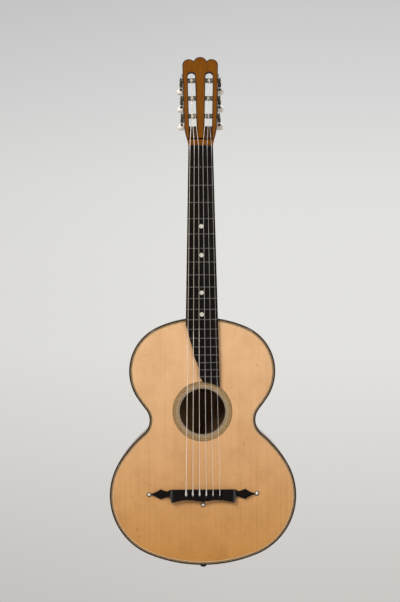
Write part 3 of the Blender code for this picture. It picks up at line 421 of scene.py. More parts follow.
def polished_ebony():
    """Ebony, oiled and worn: near black with faint brown streaks and fine pores."""
    made, tree = new_finish("oiled_ebony", IOR=1.22)
    place = node(tree, "ShaderNodeTexCoord").outputs["Object"]
    stripes = streaks(tree, place, 260.0, 5.0)
    pores = streaks(tree, place, 1800.0, 90.0, 2.0)
    wood = stained(tree, stripes, 0.50, 0.75, 0.7, colours().ebony, [c * 2.6 for c in colours().ebony])
    rough = node(tree, "ShaderNodeMapRange", {0: pores, 1: 0.35, 2: 0.70, 3: 0.34, 4: 0.50})
    return complete(made, wood, pores, 0.00002, 0.3, rough)


def bare_wood_with_painted_shade():
    """Unfinished lime and spruce inside the body, darkened as painted shade of the closed body."""
    made, tree = new_finish("bare_inside_wood", Roughness=0.85, IOR=1.45)
    grain = streaks(tree, node(tree, "ShaderNodeTexCoord").outputs["Object"], 240.0, 9.0)
    wood = stained(tree, grain, 0.35, 0.70, 1.0, hexed("#94704b"), hexed("#6f4f33"))
    return complete(made, wood, grain, 0.00006, 0.5)


def mother_of_pearl():
    """Shell, polished: pale, with cloudy layers that turn pink and green."""
    made, tree = new_finish("mother_of_pearl", Roughness=0.18, IOR=1.55, Coat_Weight=0.5, Coat_Roughness=0.08)
    place = node(tree, "ShaderNodeTexCoord").outputs["Object"]
    layers, sheen = (
        node(tree, "ShaderNodeTexNoise", {
            "Vector": place, "Scale": scale, "Detail": detail, "Distortion": twist})
        for scale, detail, twist in ((220.0, 3.0, 1.2), (420.0, 2.0, 0.8)))
    base = stained(tree, layers, 0.35, 0.65, 1.0, colours().pearl, hexed("#cfc8b8"))
    pink = stained(tree, sheen, 0.52, 0.66, 0.4, base, hexed("#e6cfc8"))
    green = stained(tree, sheen, 0.46, 0.34, 0.4, pink, hexed("#c6d8cc"))
    return complete(made, green, layers, 0.00005, 0.3)


def worn_metal(name, colour, dark, rough_low, rough_high):
    """A metal that has tarnished unevenly, with fine rubbed lines."""
    made, tree = new_finish(name, Metallic=1.0)
    place = node(tree, "ShaderNodeTexCoord").outputs["Object"]
    tarnish = node(tree, "ShaderNodeTexNoise", {"Vector": place, "Scale": 420.0, "Detail": 4.0})
    rubbed = streaks(tree, place, 2200.0, 180.0, 2.0)
    metal = stained(tree, tarnish, 0.40, 0.68, 1.0, colour, dark)
    both = node(tree, "ShaderNodeMath", {0: tarnish, 1: rubbed}, operation="ADD")
    # The two noises together run from 0 to 2, so their mean's 0.30 to 0.70 is 0.60 to 1.40 here.
    rough = node(tree, "ShaderNodeMapRange", {0: both, 1: 0.60, 2: 1.40, 3: rough_low, 4: rough_high})
    return complete(made, metal, rubbed, 0.00001, 0.3, rough)


def mosaic(name, tones, line):
    """Small glued wood tiles; each tile carries its own tone from 0 to 1 in the attribute 'tone'."""
    made, tree = new_finish(name, Roughness=0.45, IOR=1.5, Coat_Weight=0.3, Coat_Roughness=0.2)
    tone = node(tree, "ShaderNodeAttribute", attribute_name="tone").outputs["Fac"]
    grain = streaks(tree, node(tree, "ShaderNodeTexCoord").outputs["Object"], 1400.0, 1400.0, 2.0)
    woods = toned_steps(tree, tone, [(i / (len(tones) - 1), code) for i, code in enumerate(tones)])
    return complete(made, stained(tree, grain, 0.35, 0.75, 0.35, woods, hexed(line)))


def dulled(tree, clean, dull, end):
    """Clean metal, except where fingers press the strings against the fingerboard, which ends at end."""
    height = node(tree, "ShaderNodeSeparateXYZ", {
        "Vector": node(tree, "ShaderNodeTexCoord").outputs["Object"]}).outputs["Z"]
    above = node(tree, "ShaderNodeMapRange", {0: height, 1: end, 2: end + 0.02})
    below = node(tree, "ShaderNodeMapRange", {0: height, 1: 0.0, 2: -0.015})
    share = node(tree, "ShaderNodeMath", {0: above, 1: below}, operation="MULTIPLY")
    return node(tree, "ShaderNodeMix", {0: share, 6: clean, 7: dull}, data_type="RGBA").outputs[2]


def plain_wire():
    """Drawn steel, dulled by fingers over the fingerboard; its near-white colour over the body is painted
    glint.
    """
    made, tree = new_finish("drawn_steel", Metallic=0.4, Roughness=0.40)
    rubbed = streaks(tree, node(tree, "ShaderNodeTexCoord").outputs["Object"], 900.0, 60.0, 2.0)
    metal = dulled(tree, colours().steel, hexed("#bdb5ab"), -0.43)
    worn = stained(tree, rubbed, 0.45, 0.70, 0.5, metal, hexed("#a8a198"))
    return complete(made, worn, rubbed, 0.00001, 0.3)


def wound_turns(tree, pitch):
    """A wave from -1 to 1 for each turn of wire or thread, pitch metres apart along the string."""
    along = node(tree, "ShaderNodeAttribute", attribute_name="along").outputs["Fac"]
    phase = node(tree, "ShaderNodeMath", {0: along, 1: 2 * math.pi / pitch}, operation="MULTIPLY")
    return node(tree, "ShaderNodeMath", {0: phase}, operation="SINE")


def wrapped_wire():
    """Silvered copper wound on a core: close turns that show as fine bars, with painted shade on half of each
    turn.
    """
    made, tree = new_finish("wound_string_wrap", Metallic=0.2, Roughness=0.35)
    # A turn of wrap is 0.25 mm, drawn at 0.9 mm so that it shows.
    turns = wound_turns(tree, 0.0009)
    wear = streaks(tree, node(tree, "ShaderNodeTexCoord").outputs["Object"], 60.0, 30.0, 2.0)
    # Painted glint: the near-white wrap colour stands in for the light it reflects
    bright = stained(tree, wear, 0.40, 0.70, 1.0, colours().bronze_with_painted_glint, hexed("#e2d0b8"))
    metal = dulled(tree, bright, hexed("#bdb0a0"), -0.35)
    # Painted shade: one half of each turn is darkened
    painted_turn_shade = stained(tree, turns, 0.0, -1.0, 0.35, metal, hexed("#9a8a74"))
    return complete(made, painted_turn_shade, turns, 0.00008, 0.5)


def silk_thread():
    """Grey silk wound round a string's end: matt, in close turns, with painted light and shade along each
    turn.
    """
    made, tree = new_finish("silk_wrapped_end", Roughness=0.8)
    turns = wound_turns(tree, 0.0012)
    # Painted light and shade: each turn runs from grey to near white
    silk = stained(tree, turns, -1.0, 1.0, 1.0, hexed("#a8a59e"), hexed("#efece4"))
    return complete(made, silk, turns, 0.00010, 0.5)


def button_pearl():
    """Cream pearl of the tuning buttons: warm white with faint clouds, and a soft polish."""
    made, tree = new_finish("cream_pearl_button", Roughness=0.22, IOR=1.52)
    layers = node(tree, "ShaderNodeTexNoise", {
        "Vector": node(tree, "ShaderNodeTexCoord").outputs["Object"],
        "Scale": 150.0, "Detail": 3.0, "Distortion": 1.5})
    return complete(made, stained(tree, layers, 0.35, 0.68, 1.0, hexed("#fffaf0"), hexed("#fbf0da")))


FINISHES = {}
# Old varnish reflects a warm light
WARM_SHEEN = (1.0, 0.72, 0.30, 1.0)


def finish(name):
    """The material of a finish, made the first time it is asked for."""
    if name not in FINISHES:
        own = colours()
        makers = {
            "spruce": (varnished_spruce,),
            "neck": (figured_wood, "varnished_cedar", own.neck, hexed("#552d06"),
                     120.0, 0.45, 0.0, 1.30, WARM_SHEEN),
            # Painted shade of the headstock's rounded edges
            "neck_edge_painted_shade": (figured_wood, "handled_cedar_edge", hexed("#3d220c"), hexed("#281406"),
                          120.0, 0.5, 0.0, 1.30),
            # Cut cedar of the slots and ramps, darkened as painted shade of these recesses
            "neck_inside_painted_shade": (figured_wood, "cut_cedar", hexed("#472c16"), hexed("#2c1a0c"),
                            200.0, 0.75, 0.0, 1.3),
            "sides": (figured_wood, "french_polished_mahogany", own.sides, hexed("#45230d"), 70.0, 0.34, 0.3),
            "binding": (figured_wood, "dark_pearwood_binding", own.binding, hexed("#281c12"),
                        300.0, 0.55, 0.0, 1.28),
            "light": (figured_wood, "maple_line", hexed("#e4bf8e"), hexed("#cda470"), 300.0, 0.4, 0.3),
            "ebony": (polished_ebony,),
            # Painted highlight: the bridge's sloped end faces are greyer, standing in for the light they
            # catch
            "ebony_facet_painted_highlight": (figured_wood, "worn_ebony", hexed("#3a3735"), hexed("#262321"), 300.0, 0.40, 0.0),
            "inside": (bare_wood_with_painted_shade,),
            "pearl": (mother_of_pearl,),
            "button": (button_pearl,),
            "rosette": (mosaic, "rosette_tiles", ("#755a36", "#a58457", "#c6a26c"), "#5a4527"),
            "rosette_inner": (mosaic, "rosette_inner_tiles", ("#7d6950", "#9e8a6f", "#b6a388"), "#65533b"),
            "purfling": (mosaic, "purfling_tiles", ("#5f4931", "#886c4b", "#ab8a60"), "#4c3a26"),
            "plate": (worn_metal, "darkened_brass", own.plate, hexed("#3b362c"), 0.35, 0.6),
            "worm": (worn_metal, "blackened_steel", hexed("#5c574c"), hexed("#35302a"), 0.3, 0.5),
            "roller": (worn_metal, "aged_nickel", hexed("#b4ac9a"), hexed("#7c7564"), 0.28, 0.5),
            "fret": (worn_metal, "nickel_silver", hexed("#8c8784"), hexed("#66605c"), 0.3, 0.45),
            "wound": (wrapped_wire,),
            "plain": (plain_wire,),
            "silk": (silk_thread,),
        }
        maker, *values = makers[name]
        FINISHES[name] = maker(*values)
    return FINISHES[name]


# Mesh helpers

def moved(x, y, z):
    """The frame of a place."""
    return Matrix.Translation((x, y, z))


def spun(degrees, axis):
    """The frame of a turn about an axis."""
    return Matrix.Rotation(math.radians(degrees), 4, axis)


def applied(obj):
    """A mesh of the object with its modifiers applied."""
    bpy.context.view_layer.update()
    graph = bpy.context.evaluated_depsgraph_get()
    return bpy.data.meshes.new_from_object(obj.evaluated_get(graph))


def cleaned(mesh, distance):
    """Join the mesh's doubled corners and turn its faces outwards."""
    work = bmesh.new()
    work.from_mesh(mesh)
    bmesh.ops.remove_doubles(work, verts=work.verts, dist=distance)
    bmesh.ops.recalc_face_normals(work, faces=work.faces)
    work.to_mesh(mesh)
    work.free()


def both_sides(half):
    """A treble half outline with its mirror image; points on the centre line aren't repeated."""
    return half + [(-x, z) for x, z in reversed(half) if x > 1e-9]


def from_bmesh(name, work, finish_name=None):
    """An object from a bmesh, its faces turned outwards and its finish set."""
    bmesh.ops.recalc_face_normals(work, faces=work.faces)
    mesh = bpy.data.meshes.new(name)
    work.to_mesh(mesh)
    work.free()
    return link(name, mesh, finish_name)


def link(name, data, finish_name=None):
    """An object in the scene, with its finish if one is named."""
    obj = bpy.data.objects.new(name, data)
    bpy.context.scene.collection.objects.link(obj)
    if finish_name:
        data.materials.append(finish(finish_name))
    return obj


def settle(obj, angle=35.0):
    """Apply an object's modifiers and place to its mesh, and leave a plain object at the origin."""
    mesh = applied(obj)
    mesh.transform(obj.matrix_world)
    name = obj.name
    finishes = list(obj.data.materials)
    bpy.data.objects.remove(obj, do_unlink=True)
    if not mesh.materials:
        for material in finishes:
            mesh.materials.append(material)
    made = link(name, mesh)
    made.name = name
    cleaned(mesh, 1e-7)
    mesh.shade_smooth()
    mesh.set_sharp_from_angle(angle=math.radians(angle))
    flatten = made.modifiers.new("flat faces stay flat", "WEIGHTED_NORMAL")
    flatten.keep_sharp = True
    weighed = applied(made)
    made.modifiers.clear()
    made.data = weighed
    bpy.data.meshes.remove(mesh)
    weighed.name = name
    return made


def ready(obj, slot, *replaced, body=ROOT):
    """Let a finished piece ride on its body and stand for its parts; its slot is not used."""
    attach(obj, body)
    if replaced:
        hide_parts(*replaced)
    return obj


def round_edges(obj, width, segments=3, angle=40.0):
    """Round the edges that turn by more than the angle."""
    rounding = obj.modifiers.new("rounded edges", "BEVEL")
    rounding.width = width
    rounding.segments = segments
    rounding.limit_method = "ANGLE"
    rounding.angle_limit = math.radians(angle)
    rounding.harden_normals = False
    return obj


def cut(target, other, operation="DIFFERENCE"):
    """Change target by another object's shape; the other object is used up."""
    change = target.modifiers.new("shape", "BOOLEAN")
    change.operation = operation
    change.object = other
    change.solver = "EXACT"
    change.material_mode = "TRANSFER"
    mesh = applied(target)
    target.modifiers.clear()
    target.data = mesh
    bpy.data.objects.remove(other, do_unlink=True)
    return target


def flat_shape(name, outlines, low, high, finish_name=None):
    """A plate cut along (x, z) outlines, the first outside and the rest holes, from y = low to high."""
    curve = bpy.data.curves.new(name, "CURVE")
    curve.dimensions = "2D"
    curve.fill_mode = "BOTH"
    curve.extrude = (high - low) / 2
    for outline in outlines:
        spline = curve.splines.new("POLY")
        spline.points.add(len(outline) - 1)
        for point, (x, z) in zip(spline.points, outline):
            point.co = (x, z, 0.0, 1.0)
        spline.use_cyclic_u = True
    flat = link(name, curve)
    mesh = applied(flat)
    bpy.data.objects.remove(flat, do_unlink=True)
    mesh.transform(moved(0.0, (low + high) / 2, 0.0) @ spun(90.0, "X"))
    cleaned(mesh, 1e-6)
    return link(name, mesh, finish_name)


def arc(centre, radius, first, last, steps):
    """Points of an arc between two angles in degrees."""
    angles = [math.radians(first + (last - first) * i / steps) for i in range(steps + 1)]
    return [(centre[0] + radius * math.cos(a), centre[1] + radius * math.sin(a)) for a in angles]


def ring(radius, centre=(0.0, 0.0), steps=96):
    """Points of a whole circle."""
    return arc(centre, radius, 0.0, 360.0, steps)[:-1]


def body_half(inset=0.0):
    """The treble half of the body's outline, moved inwards, from the top down."""
    place = np.array([0.0, sizes().body_top])
    heading = 0.0
    points = [(0.0, sizes().body_top - inset)]
    turned = sum(math.copysign(turn, radius) for radius, turn in BODY_ARCS)
    for radius, turn in list(BODY_ARCS) + [(None, 180.0 - turned)]:
        side = np.array([math.sin(heading), -math.cos(heading)])
        if radius is None:
            radius = -place[0] / side[0]
        centre = place + side * radius
        steps = max(2, math.ceil(turn / ARC_STEP))
        sign = math.copysign(1.0, radius)
        start = place - centre
        for i in range(1, steps + 1):
            swing = -sign * math.radians(turn) * i / steps
            spun = np.array([
                start[0] * math.cos(swing) - start[1] * math.sin(swing),
                start[0] * math.sin(swing) + start[1] * math.cos(swing),
            ])
            place = centre + spun
            points.append(tuple(centre + spun * (radius - inset) / radius))
        heading -= sign * math.radians(turn)
    points[-1] = (0.0, points[-1][1])
    return points


def body_outline(inset=0.0):
    """The whole body's outline, moved inwards."""
    return both_sides(body_half(inset))


def wall(name, outer, inner, low, high, finish_name, closed=True):
    """A strip between two outlines of equally many points, from y = low to high."""
    work = bmesh.new()
    rows = [[work.verts.new((x, y, z)) for x, z in line]
            for line, y in ((outer, low), (outer, high), (inner, high), (inner, low))]
    count = len(outer)
    for a in range(4):
        b = (a + 1) % 4
        for i in range(count if closed else count - 1):
            j = (i + 1) % count
            work.faces.new((rows[a][i], rows[a][j], rows[b][j], rows[b][i]))
    if not closed:
        work.faces.new([row[0] for row in rows])
        work.faces.new([row[-1] for row in rows])
    return from_bmesh(name, work, finish_name)


def loft(name, rings, finish_name=None):
    """A closed skin through rings of equally many points."""
    work = bmesh.new()
    rows = [[work.verts.new(point) for point in points] for points in rings]
    count = len(rows[0])
    for low_row, high_row in zip(rows, rows[1:]):
        for i in range(count):
            j = (i + 1) % count
            work.faces.new((low_row[i], low_row[j], high_row[j], high_row[i]))
    work.faces.new(rows[0])
    work.faces.new(rows[-1])
    return from_bmesh(name, work, finish_name)


# Geometry Nodes trees for what repeats

def new_tree(name, inputs):
    """A geometry tree with a mesh going in and out, and named inputs: (name, type, default)."""
    tree = bpy.data.node_groups.new(name, "GeometryNodeTree")
    tree.interface.new_socket("Geometry", in_out="INPUT", socket_type="NodeSocketGeometry")
    tree.interface.new_socket("Geometry", in_out="OUTPUT", socket_type="NodeSocketGeometry")
    for label, kind, default in inputs:
        socket = tree.interface.new_socket(label, in_out="INPUT", socket_type=kind)
        if default is not None:
            socket.default_value = default
    return tree, node(tree, "NodeGroupInput"), node(tree, "NodeGroupOutput")


def end_tree(tree, source, result, last):
    """Close a tree: copies become real, and the mesh takes the finish that was handed in."""
    solid = node(tree, "GeometryNodeRealizeInstances", {"Geometry": last})
    painted = node(tree, "GeometryNodeSetMaterial", {"Geometry": solid, "Material": source.outputs["Finish"]})
    tree.links.new(painted.outputs["Geometry"], result.inputs["Geometry"])
    return tree


def run_tree(obj, tree, values):
    """Give the object the tree with these named values, and return the plain mesh object it makes."""
    change = obj.modifiers.new(tree.name, "NODES")
    change.node_group = tree
    for item in tree.interface.items_tree:
        if item.in_out == "INPUT" and item.name in values:
            change[item.identifier] = values[item.name]
    return settle(obj)


def swept_tree():
    """Each edge chain of the mesh becomes a bar with a half-round crown, such as a fret."""
    tree, source, result = new_tree("frets along lines", (
        ("Width", "NodeSocketFloat", 0.002), ("Height", "NodeSocketFloat", 0.001),
        ("Finish", "NodeSocketMaterial", None)))
    lines = node(tree, "GeometryNodeMeshToCurve", {"Mesh": source.outputs["Geometry"]})
    normal = node(tree, "GeometryNodeSetCurveNormal", {"Curve": lines.outputs["Curve"]})
    normal.mode = "Z_UP"
    crown = node(tree, "GeometryNodeCurvePrimitiveCircle", {"Resolution": 16, "Radius": 0.5})
    size = node(tree, "ShaderNodeCombineXYZ", {
        "X": source.outputs["Height"], "Y": source.outputs["Width"], "Z": 1.0})
    sized = node(tree, "GeometryNodeTransform", {"Geometry": crown, "Scale": size})
    swept = node(tree, "GeometryNodeCurveToMesh", {
        "Curve": normal.outputs["Curve"], "Profile Curve": sized.outputs["Geometry"], "Fill Caps": True})
    return end_tree(tree, source, result, swept)


def wire_tree():
    """The mesh's edge chain becomes a round wire whose attribute 'along' holds the length so far."""
    tree, source, result = new_tree("wire along path", (
        ("Radius", "NodeSocketFloat", 0.0005), ("Sides", "NodeSocketInt", 10),
        ("Finish", "NodeSocketMaterial", None)))
    line = node(tree, "GeometryNodeMeshToCurve", {"Mesh": source.outputs["Geometry"]})
    length = node(tree, "GeometryNodeSplineParameter")
    stored = node(tree, "GeometryNodeStoreNamedAttribute", {
        "Geometry": line.outputs["Curve"], "Name": "along", "Value": length.outputs["Length"]},
        data_type="FLOAT", domain="POINT")
    swell = node(tree, "GeometryNodeInputNamedAttribute", {"Name": "swell"}, data_type="FLOAT")
    round_end = node(tree, "GeometryNodeCurvePrimitiveCircle", {
        "Resolution": source.outputs["Sides"], "Radius": source.outputs["Radius"]})
    swept = node(tree, "GeometryNodeCurveToMesh", {
        "Curve": stored.outputs["Geometry"], "Profile Curve": round_end.outputs["Curve"],
        "Scale": swell.outputs["Attribute"], "Fill Caps": True})
    return end_tree(tree, source, result, swept)


def scatter_tree():
    """One shape set on every point, turned by the point's 'turn', sized by its 'size', with a 'tone'."""
    tree, source, result = new_tree("shape on points", (
        ("Shape", "NodeSocketObject", None), ("Finish", "NodeSocketMaterial", None),
        ("Seed", "NodeSocketInt", 7), ("Tone spread", "NodeSocketFloat", 0.3)))
    shape = node(
        tree, "GeometryNodeObjectInfo", {"Object": source.outputs["Shape"]}, transform_space="ORIGINAL")
    turn = node(tree, "GeometryNodeInputNamedAttribute", {"Name": "turn"}, data_type="FLOAT_VECTOR")
    size = node(tree, "GeometryNodeInputNamedAttribute", {"Name": "size"}, data_type="FLOAT_VECTOR")
    base = node(tree, "GeometryNodeInputNamedAttribute", {"Name": "base_tone"}, data_type="FLOAT")
    points = node(tree, "GeometryNodeMeshToPoints", {"Mesh": source.outputs["Geometry"]})
    rotation = node(tree, "FunctionNodeEulerToRotation", {"Euler": turn.outputs["Attribute"]})
    copies = node(tree, "GeometryNodeInstanceOnPoints", {
        "Points": points.outputs["Points"], "Instance": shape.outputs["Geometry"],
        "Rotation": rotation.outputs["Rotation"], "Scale": size.outputs["Attribute"]})
    half = node(tree, "ShaderNodeMath", {0: source.outputs["Tone spread"], 1: -0.5}, operation="MULTIPLY")
    other = node(tree, "ShaderNodeMath", {0: source.outputs["Tone spread"], 1: 0.5}, operation="MULTIPLY")
    chance = node(tree, "FunctionNodeRandomValue", {"Seed": source.outputs["Seed"]}, data_type="FLOAT")
    tree.links.new(half.outputs[0], chance.inputs[2])
    tree.links.new(other.outputs[0], chance.inputs[3])
    tone = node(tree, "ShaderNodeMath", {0: base.outputs["Attribute"], 1: chance.outputs[1]}, operation="ADD")
    toned = node(tree, "GeometryNodeStoreNamedAttribute", {
        "Geometry": copies.outputs["Instances"], "Name": "tone", "Value": tone.outputs[0]},
        data_type="FLOAT", domain="INSTANCE")
    return end_tree(tree, source, result, toned)


TREES = {}


def tree_of(maker):
    """A geometry tree, made the first time it is asked for."""
    if maker.__name__ not in TREES:
        TREES[maker.__name__] = maker()
    return TREES[maker.__name__]


def put_attribute(mesh, name, kind, values):
    """Store one value for each point of a mesh."""
    made = mesh.attributes.new(name, kind, "POINT")
    key = "vector" if kind == "FLOAT_VECTOR" else "value"
    made.data.foreach_set(key, np.array(values, np.float32).ravel())


def scattered(name, shape, places, finish_name, tones=None, seed=7, spread=0.3):
    """Copies of a template at (place, euler turn, size); the template is used up."""
    mesh = bpy.data.meshes.new(name)
    mesh.from_pydata([tuple(place) for place, turn, size in places], [], [])
    put_attribute(mesh, "turn", "FLOAT_VECTOR", [tuple(turn) for place, turn, size in places])
    put_attribute(mesh, "size", "FLOAT_VECTOR", [tuple(size) for place, turn, size in places])
    put_attribute(mesh, "base_tone", "FLOAT", tones or [0.5] * len(places))
    carrier = link(name, mesh)
    values = {"Shape": shape, "Finish": finish(finish_name), "Seed": seed, "Tone spread": spread}
    made = run_tree(carrier, tree_of(scatter_tree), values)
    bpy.data.objects.remove(shape, do_unlink=True)
    return made


def wire(name, points, radius, finish_name, sides=10, swell=None):
    """A round wire through points; swell holds its thickness at each point as a share of the radius."""
    mesh = bpy.data.meshes.new(name)
    mesh.from_pydata([tuple(point) for point in points], [(i, i + 1) for i in range(len(points) - 1)], [])
    put_attribute(mesh, "swell", "FLOAT", swell or [1.0] * len(points))
    values = {"Radius": radius, "Sides": sides, "Finish": finish(finish_name)}
    return run_tree(link(name, mesh), tree_of(wire_tree), values)


def tile(name, width, depth, height, slant=0.0, finish_name=None):
    """A block with its face at y = 0: width along X, height along Z, its top moved along X by the slant."""
    work = bmesh.new()
    corners = [(-1, 0, -1), (1, 0, -1), (1, 0, 1), (-1, 0, 1), (-1, 1, -1), (1, 1, -1), (1, 1, 1), (-1, 1, 1)]
    rows = [work.verts.new((x * width / 2 + z * slant / 2, y * depth, z * height / 2)) for x, y, z in corners]
    for face in ((0, 1, 2, 3), (7, 6, 5, 4), (0, 4, 5, 1), (1, 5, 6, 2), (2, 6, 7, 3), (3, 7, 4, 0)):
        work.faces.new([rows[i] for i in face])
    return from_bmesh(name, work, finish_name)


def rods(name, radius, length, sides, places):
    """Closed cylinders along the places' own Z axes, as one object to cut with."""
    work = bmesh.new()
    for place in places:
        bmesh.ops.create_cone(
            work, cap_ends=True, segments=sides, radius1=radius, radius2=radius, depth=length, matrix=place)
    return from_bmesh(name, work)


def turned_shape(name, profile, steps=32, finish_name=None):
    """A shape turned about the Y axis: (radius, height) points from end to end, height towards -Y."""
    work = bmesh.new()
    rows = []
    for radius, height in profile:
        if radius == 0.0:
            rows.append([work.verts.new((0.0, -height, 0.0))])
        else:
            rows.append([work.verts.new((x, -height, z)) for x, z in ring(radius, steps=steps)])
    for low_row, high_row in zip(rows, rows[1:]):
        for i in range(steps):
            j = (i + 1) % steps
            corners = [low_row[i % len(low_row)], low_row[j % len(low_row)],
                       high_row[j % len(high_row)], high_row[i % len(high_row)]]
            unique = list(dict.fromkeys(corners))
            if len(unique) > 2:
                work.faces.new(unique)
    for row in (rows[0], rows[-1]):
        if len(row) > 1:
            work.faces.new(row)
    return from_bmesh(name, work, finish_name)


# The pieces

class GUITAR_OT_stage(bpy.types.Operator):
    """Sets the camera, the lights, the floor and the backdrop."""

    bl_idname = "guitar.stage"
    bl_label = "Stage"

    def execute(self, context):
        scene = context.scene
        lens = bpy.data.cameras.new("camera")
        # 602 rows at 1.86 mm a row, seen from 3.5 m, on a 36 mm long side.
        lens.lens = 36.0 * 3.5 / (602 * 0.00186)
        lens.sensor_width = 36.0
        lens.clip_end = 30.0
        camera = bpy.data.objects.new("camera", lens)
        scene.collection.objects.link(camera)
        camera.matrix_world = moved(*CAMERA_PLACE) @ spun(90.0, "X") @ spun(CAMERA_ROLL, "Z")
        scene.camera = camera
        scene.view_settings.view_transform = "Standard"
        for name, place, aim, size, power in LAMPS:
            lamp = bpy.data.lights.new(name, "AREA")
            lamp.shape = "RECTANGLE"
            lamp.size, lamp.size_y = size
            lamp.energy = power
            stand = bpy.data.objects.new(name, lamp)
            scene.collection.objects.link(stand)
            way = Vector(aim) - Vector(place)
            stand.matrix_world = moved(*place) @ way.to_track_quat("-Z", "Y").to_matrix().to_4x4()
        self.make_world(scene)
        self.make_floor()
        return {"FINISHED"}

    def make_world(self, scene):
        """Soft light all round. Seen straight, and in shiny things that face it, it is the pale backdrop with
        its falloff of light painted in.
        """
        world = bpy.data.worlds.new("soft studio")
        scene.world = world
        world.use_nodes = True
        tree = world.node_tree
        light = tree.nodes["Background"]
        light.inputs["Color"].default_value = (*hexed("#e4e4e4"), 1.0)
        light.inputs["Strength"].default_value = WORLD_STRENGTH
        place = node(tree, "ShaderNodeTexCoord").outputs["Generated"]
        way = node(tree, "ShaderNodeSeparateXYZ", {"Vector": place})
        rise = node(tree, "ShaderNodeMapRange", {0: way.outputs["Z"], 1: -BACKDROP_RISE, 2: BACKDROP_RISE})
        # Painted shade: the backdrop's left edge is a little darker than its middle.
        side = node(tree, "ShaderNodeMapRange", {0: way.outputs["X"], 1: -0.115, 2: 0.02, 3: 0.93, 4: 1.0})
        backdrop = toned_steps(tree, rise, BACKDROP)
        glow = node(tree, "ShaderNodeBackground", {"Color": backdrop, "Strength": side})
        rays = node(tree, "ShaderNodeLightPath")
        facing = node(tree, "ShaderNodeMapRange", {0: way.outputs["Y"], 1: 0.0, 2: 0.3})
        glossy, straight = rays.outputs["Is Glossy Ray"], rays.outputs["Is Camera Ray"]
        behind = node(tree, "ShaderNodeMath", {0: glossy, 1: facing}, operation="MULTIPLY")
        seen = node(tree, "ShaderNodeMath", {0: straight, 1: behind}, operation="MAXIMUM")
        mixed = node(tree, "ShaderNodeMixShader", {0: seen, 1: light, 2: glow})
        tree.links.new(mixed.outputs["Shader"], tree.nodes["World Output"].inputs["Surface"])

    def make_floor(self):
        """A pale round floor below the hanging guitar; its rim fades into the backdrop."""
        floor = flat_shape("studio_floor", [ring(FLOOR_RADIUS)], 0.0, 0.01)
        floor.data.transform(moved(0.0, 0.0, FLOOR) @ spun(-90.0, "X"))
        made, tree = new_finish("matt_floor_paper", Roughness=0.9, Base_Color=(*hexed("#d9d7d5"), 1.0))
        place = node(tree, "ShaderNodeTexCoord").outputs["Object"]
        parts = node(tree, "ShaderNodeSeparateXYZ", {"Vector": place})
        flat = node(tree, "ShaderNodeCombineXYZ", {"X": parts.outputs["X"], "Y": parts.outputs["Y"]})
        length = node(tree, "ShaderNodeVectorMath", {0: flat.outputs["Vector"]}, operation="LENGTH")
        fade = node(tree, "ShaderNodeMapRange", {
            0: length.outputs["Value"], 1: 0.7, 2: FLOOR_RADIUS - 0.05, 3: 1.0, 4: 0.0})
        tree.links.new(fade.outputs[0], tree.nodes["Principled BSDF"].inputs["Alpha"])
        floor.data.materials.append(made)


def hole_place():
    """The sound hole's middle."""
    return (0.0, sizes().hole_place)


def key_hole(x, string_radius):
    """A bridge pin's hole with its notch for the string, towards the saddle."""
    radius = PIN_RADIUS + SEAT
    half = string_radius + SEAT
    side = math.degrees(math.acos(half / radius))
    points = arc((x, pin_place()), radius, side, -180.0 - side, 20)
    top = string_hole_place(string_radius) + half
    return [(x + half, top)] + points + [(x - half, top)]


def pin_place():
    """Height of the bridge pins' middles."""
    return -sizes().scale - 0.0120


def string_hole_place(string_radius):
    """Height at which a string passes its pin."""
    return pin_place() + PIN_RADIUS + SEAT + string_radius


def string_place(index, spacing):
    """A string's distance from the centre line, counted from the bass."""
    return (index - (len(STRING_RADII) - 1) / 2) * spacing


def key_holes():
    """The outlines of all six pin holes."""
    return [key_hole(string_place(i, SADDLE_SPACING), radius) for i, radius in enumerate(STRING_RADII)]


class GUITAR_OT_soundboard(bpy.types.Operator):
    """Makes the spruce soundboard with its sound hole and pin holes."""

    bl_idname = "guitar.soundboard"
    bl_label = "Soundboard"

    def execute(self, context):
        size = sizes()
        edge = size.binding + size.purfling + 2 * SEAT
        hole = ring(size.hole, hole_place())
        top = flat_shape("spruce_soundboard", [body_outline(edge), hole, *key_holes()], 0.0, PLATE, "spruce")
        recess = flat_shape("recess", [ring(size.rosette + SEAT / 2, hole_place())], -0.005, 0.0017)
        cut(top, recess)
        ready(settle(top), "soundboard", "soundboard")
        return {"FINISHED"}


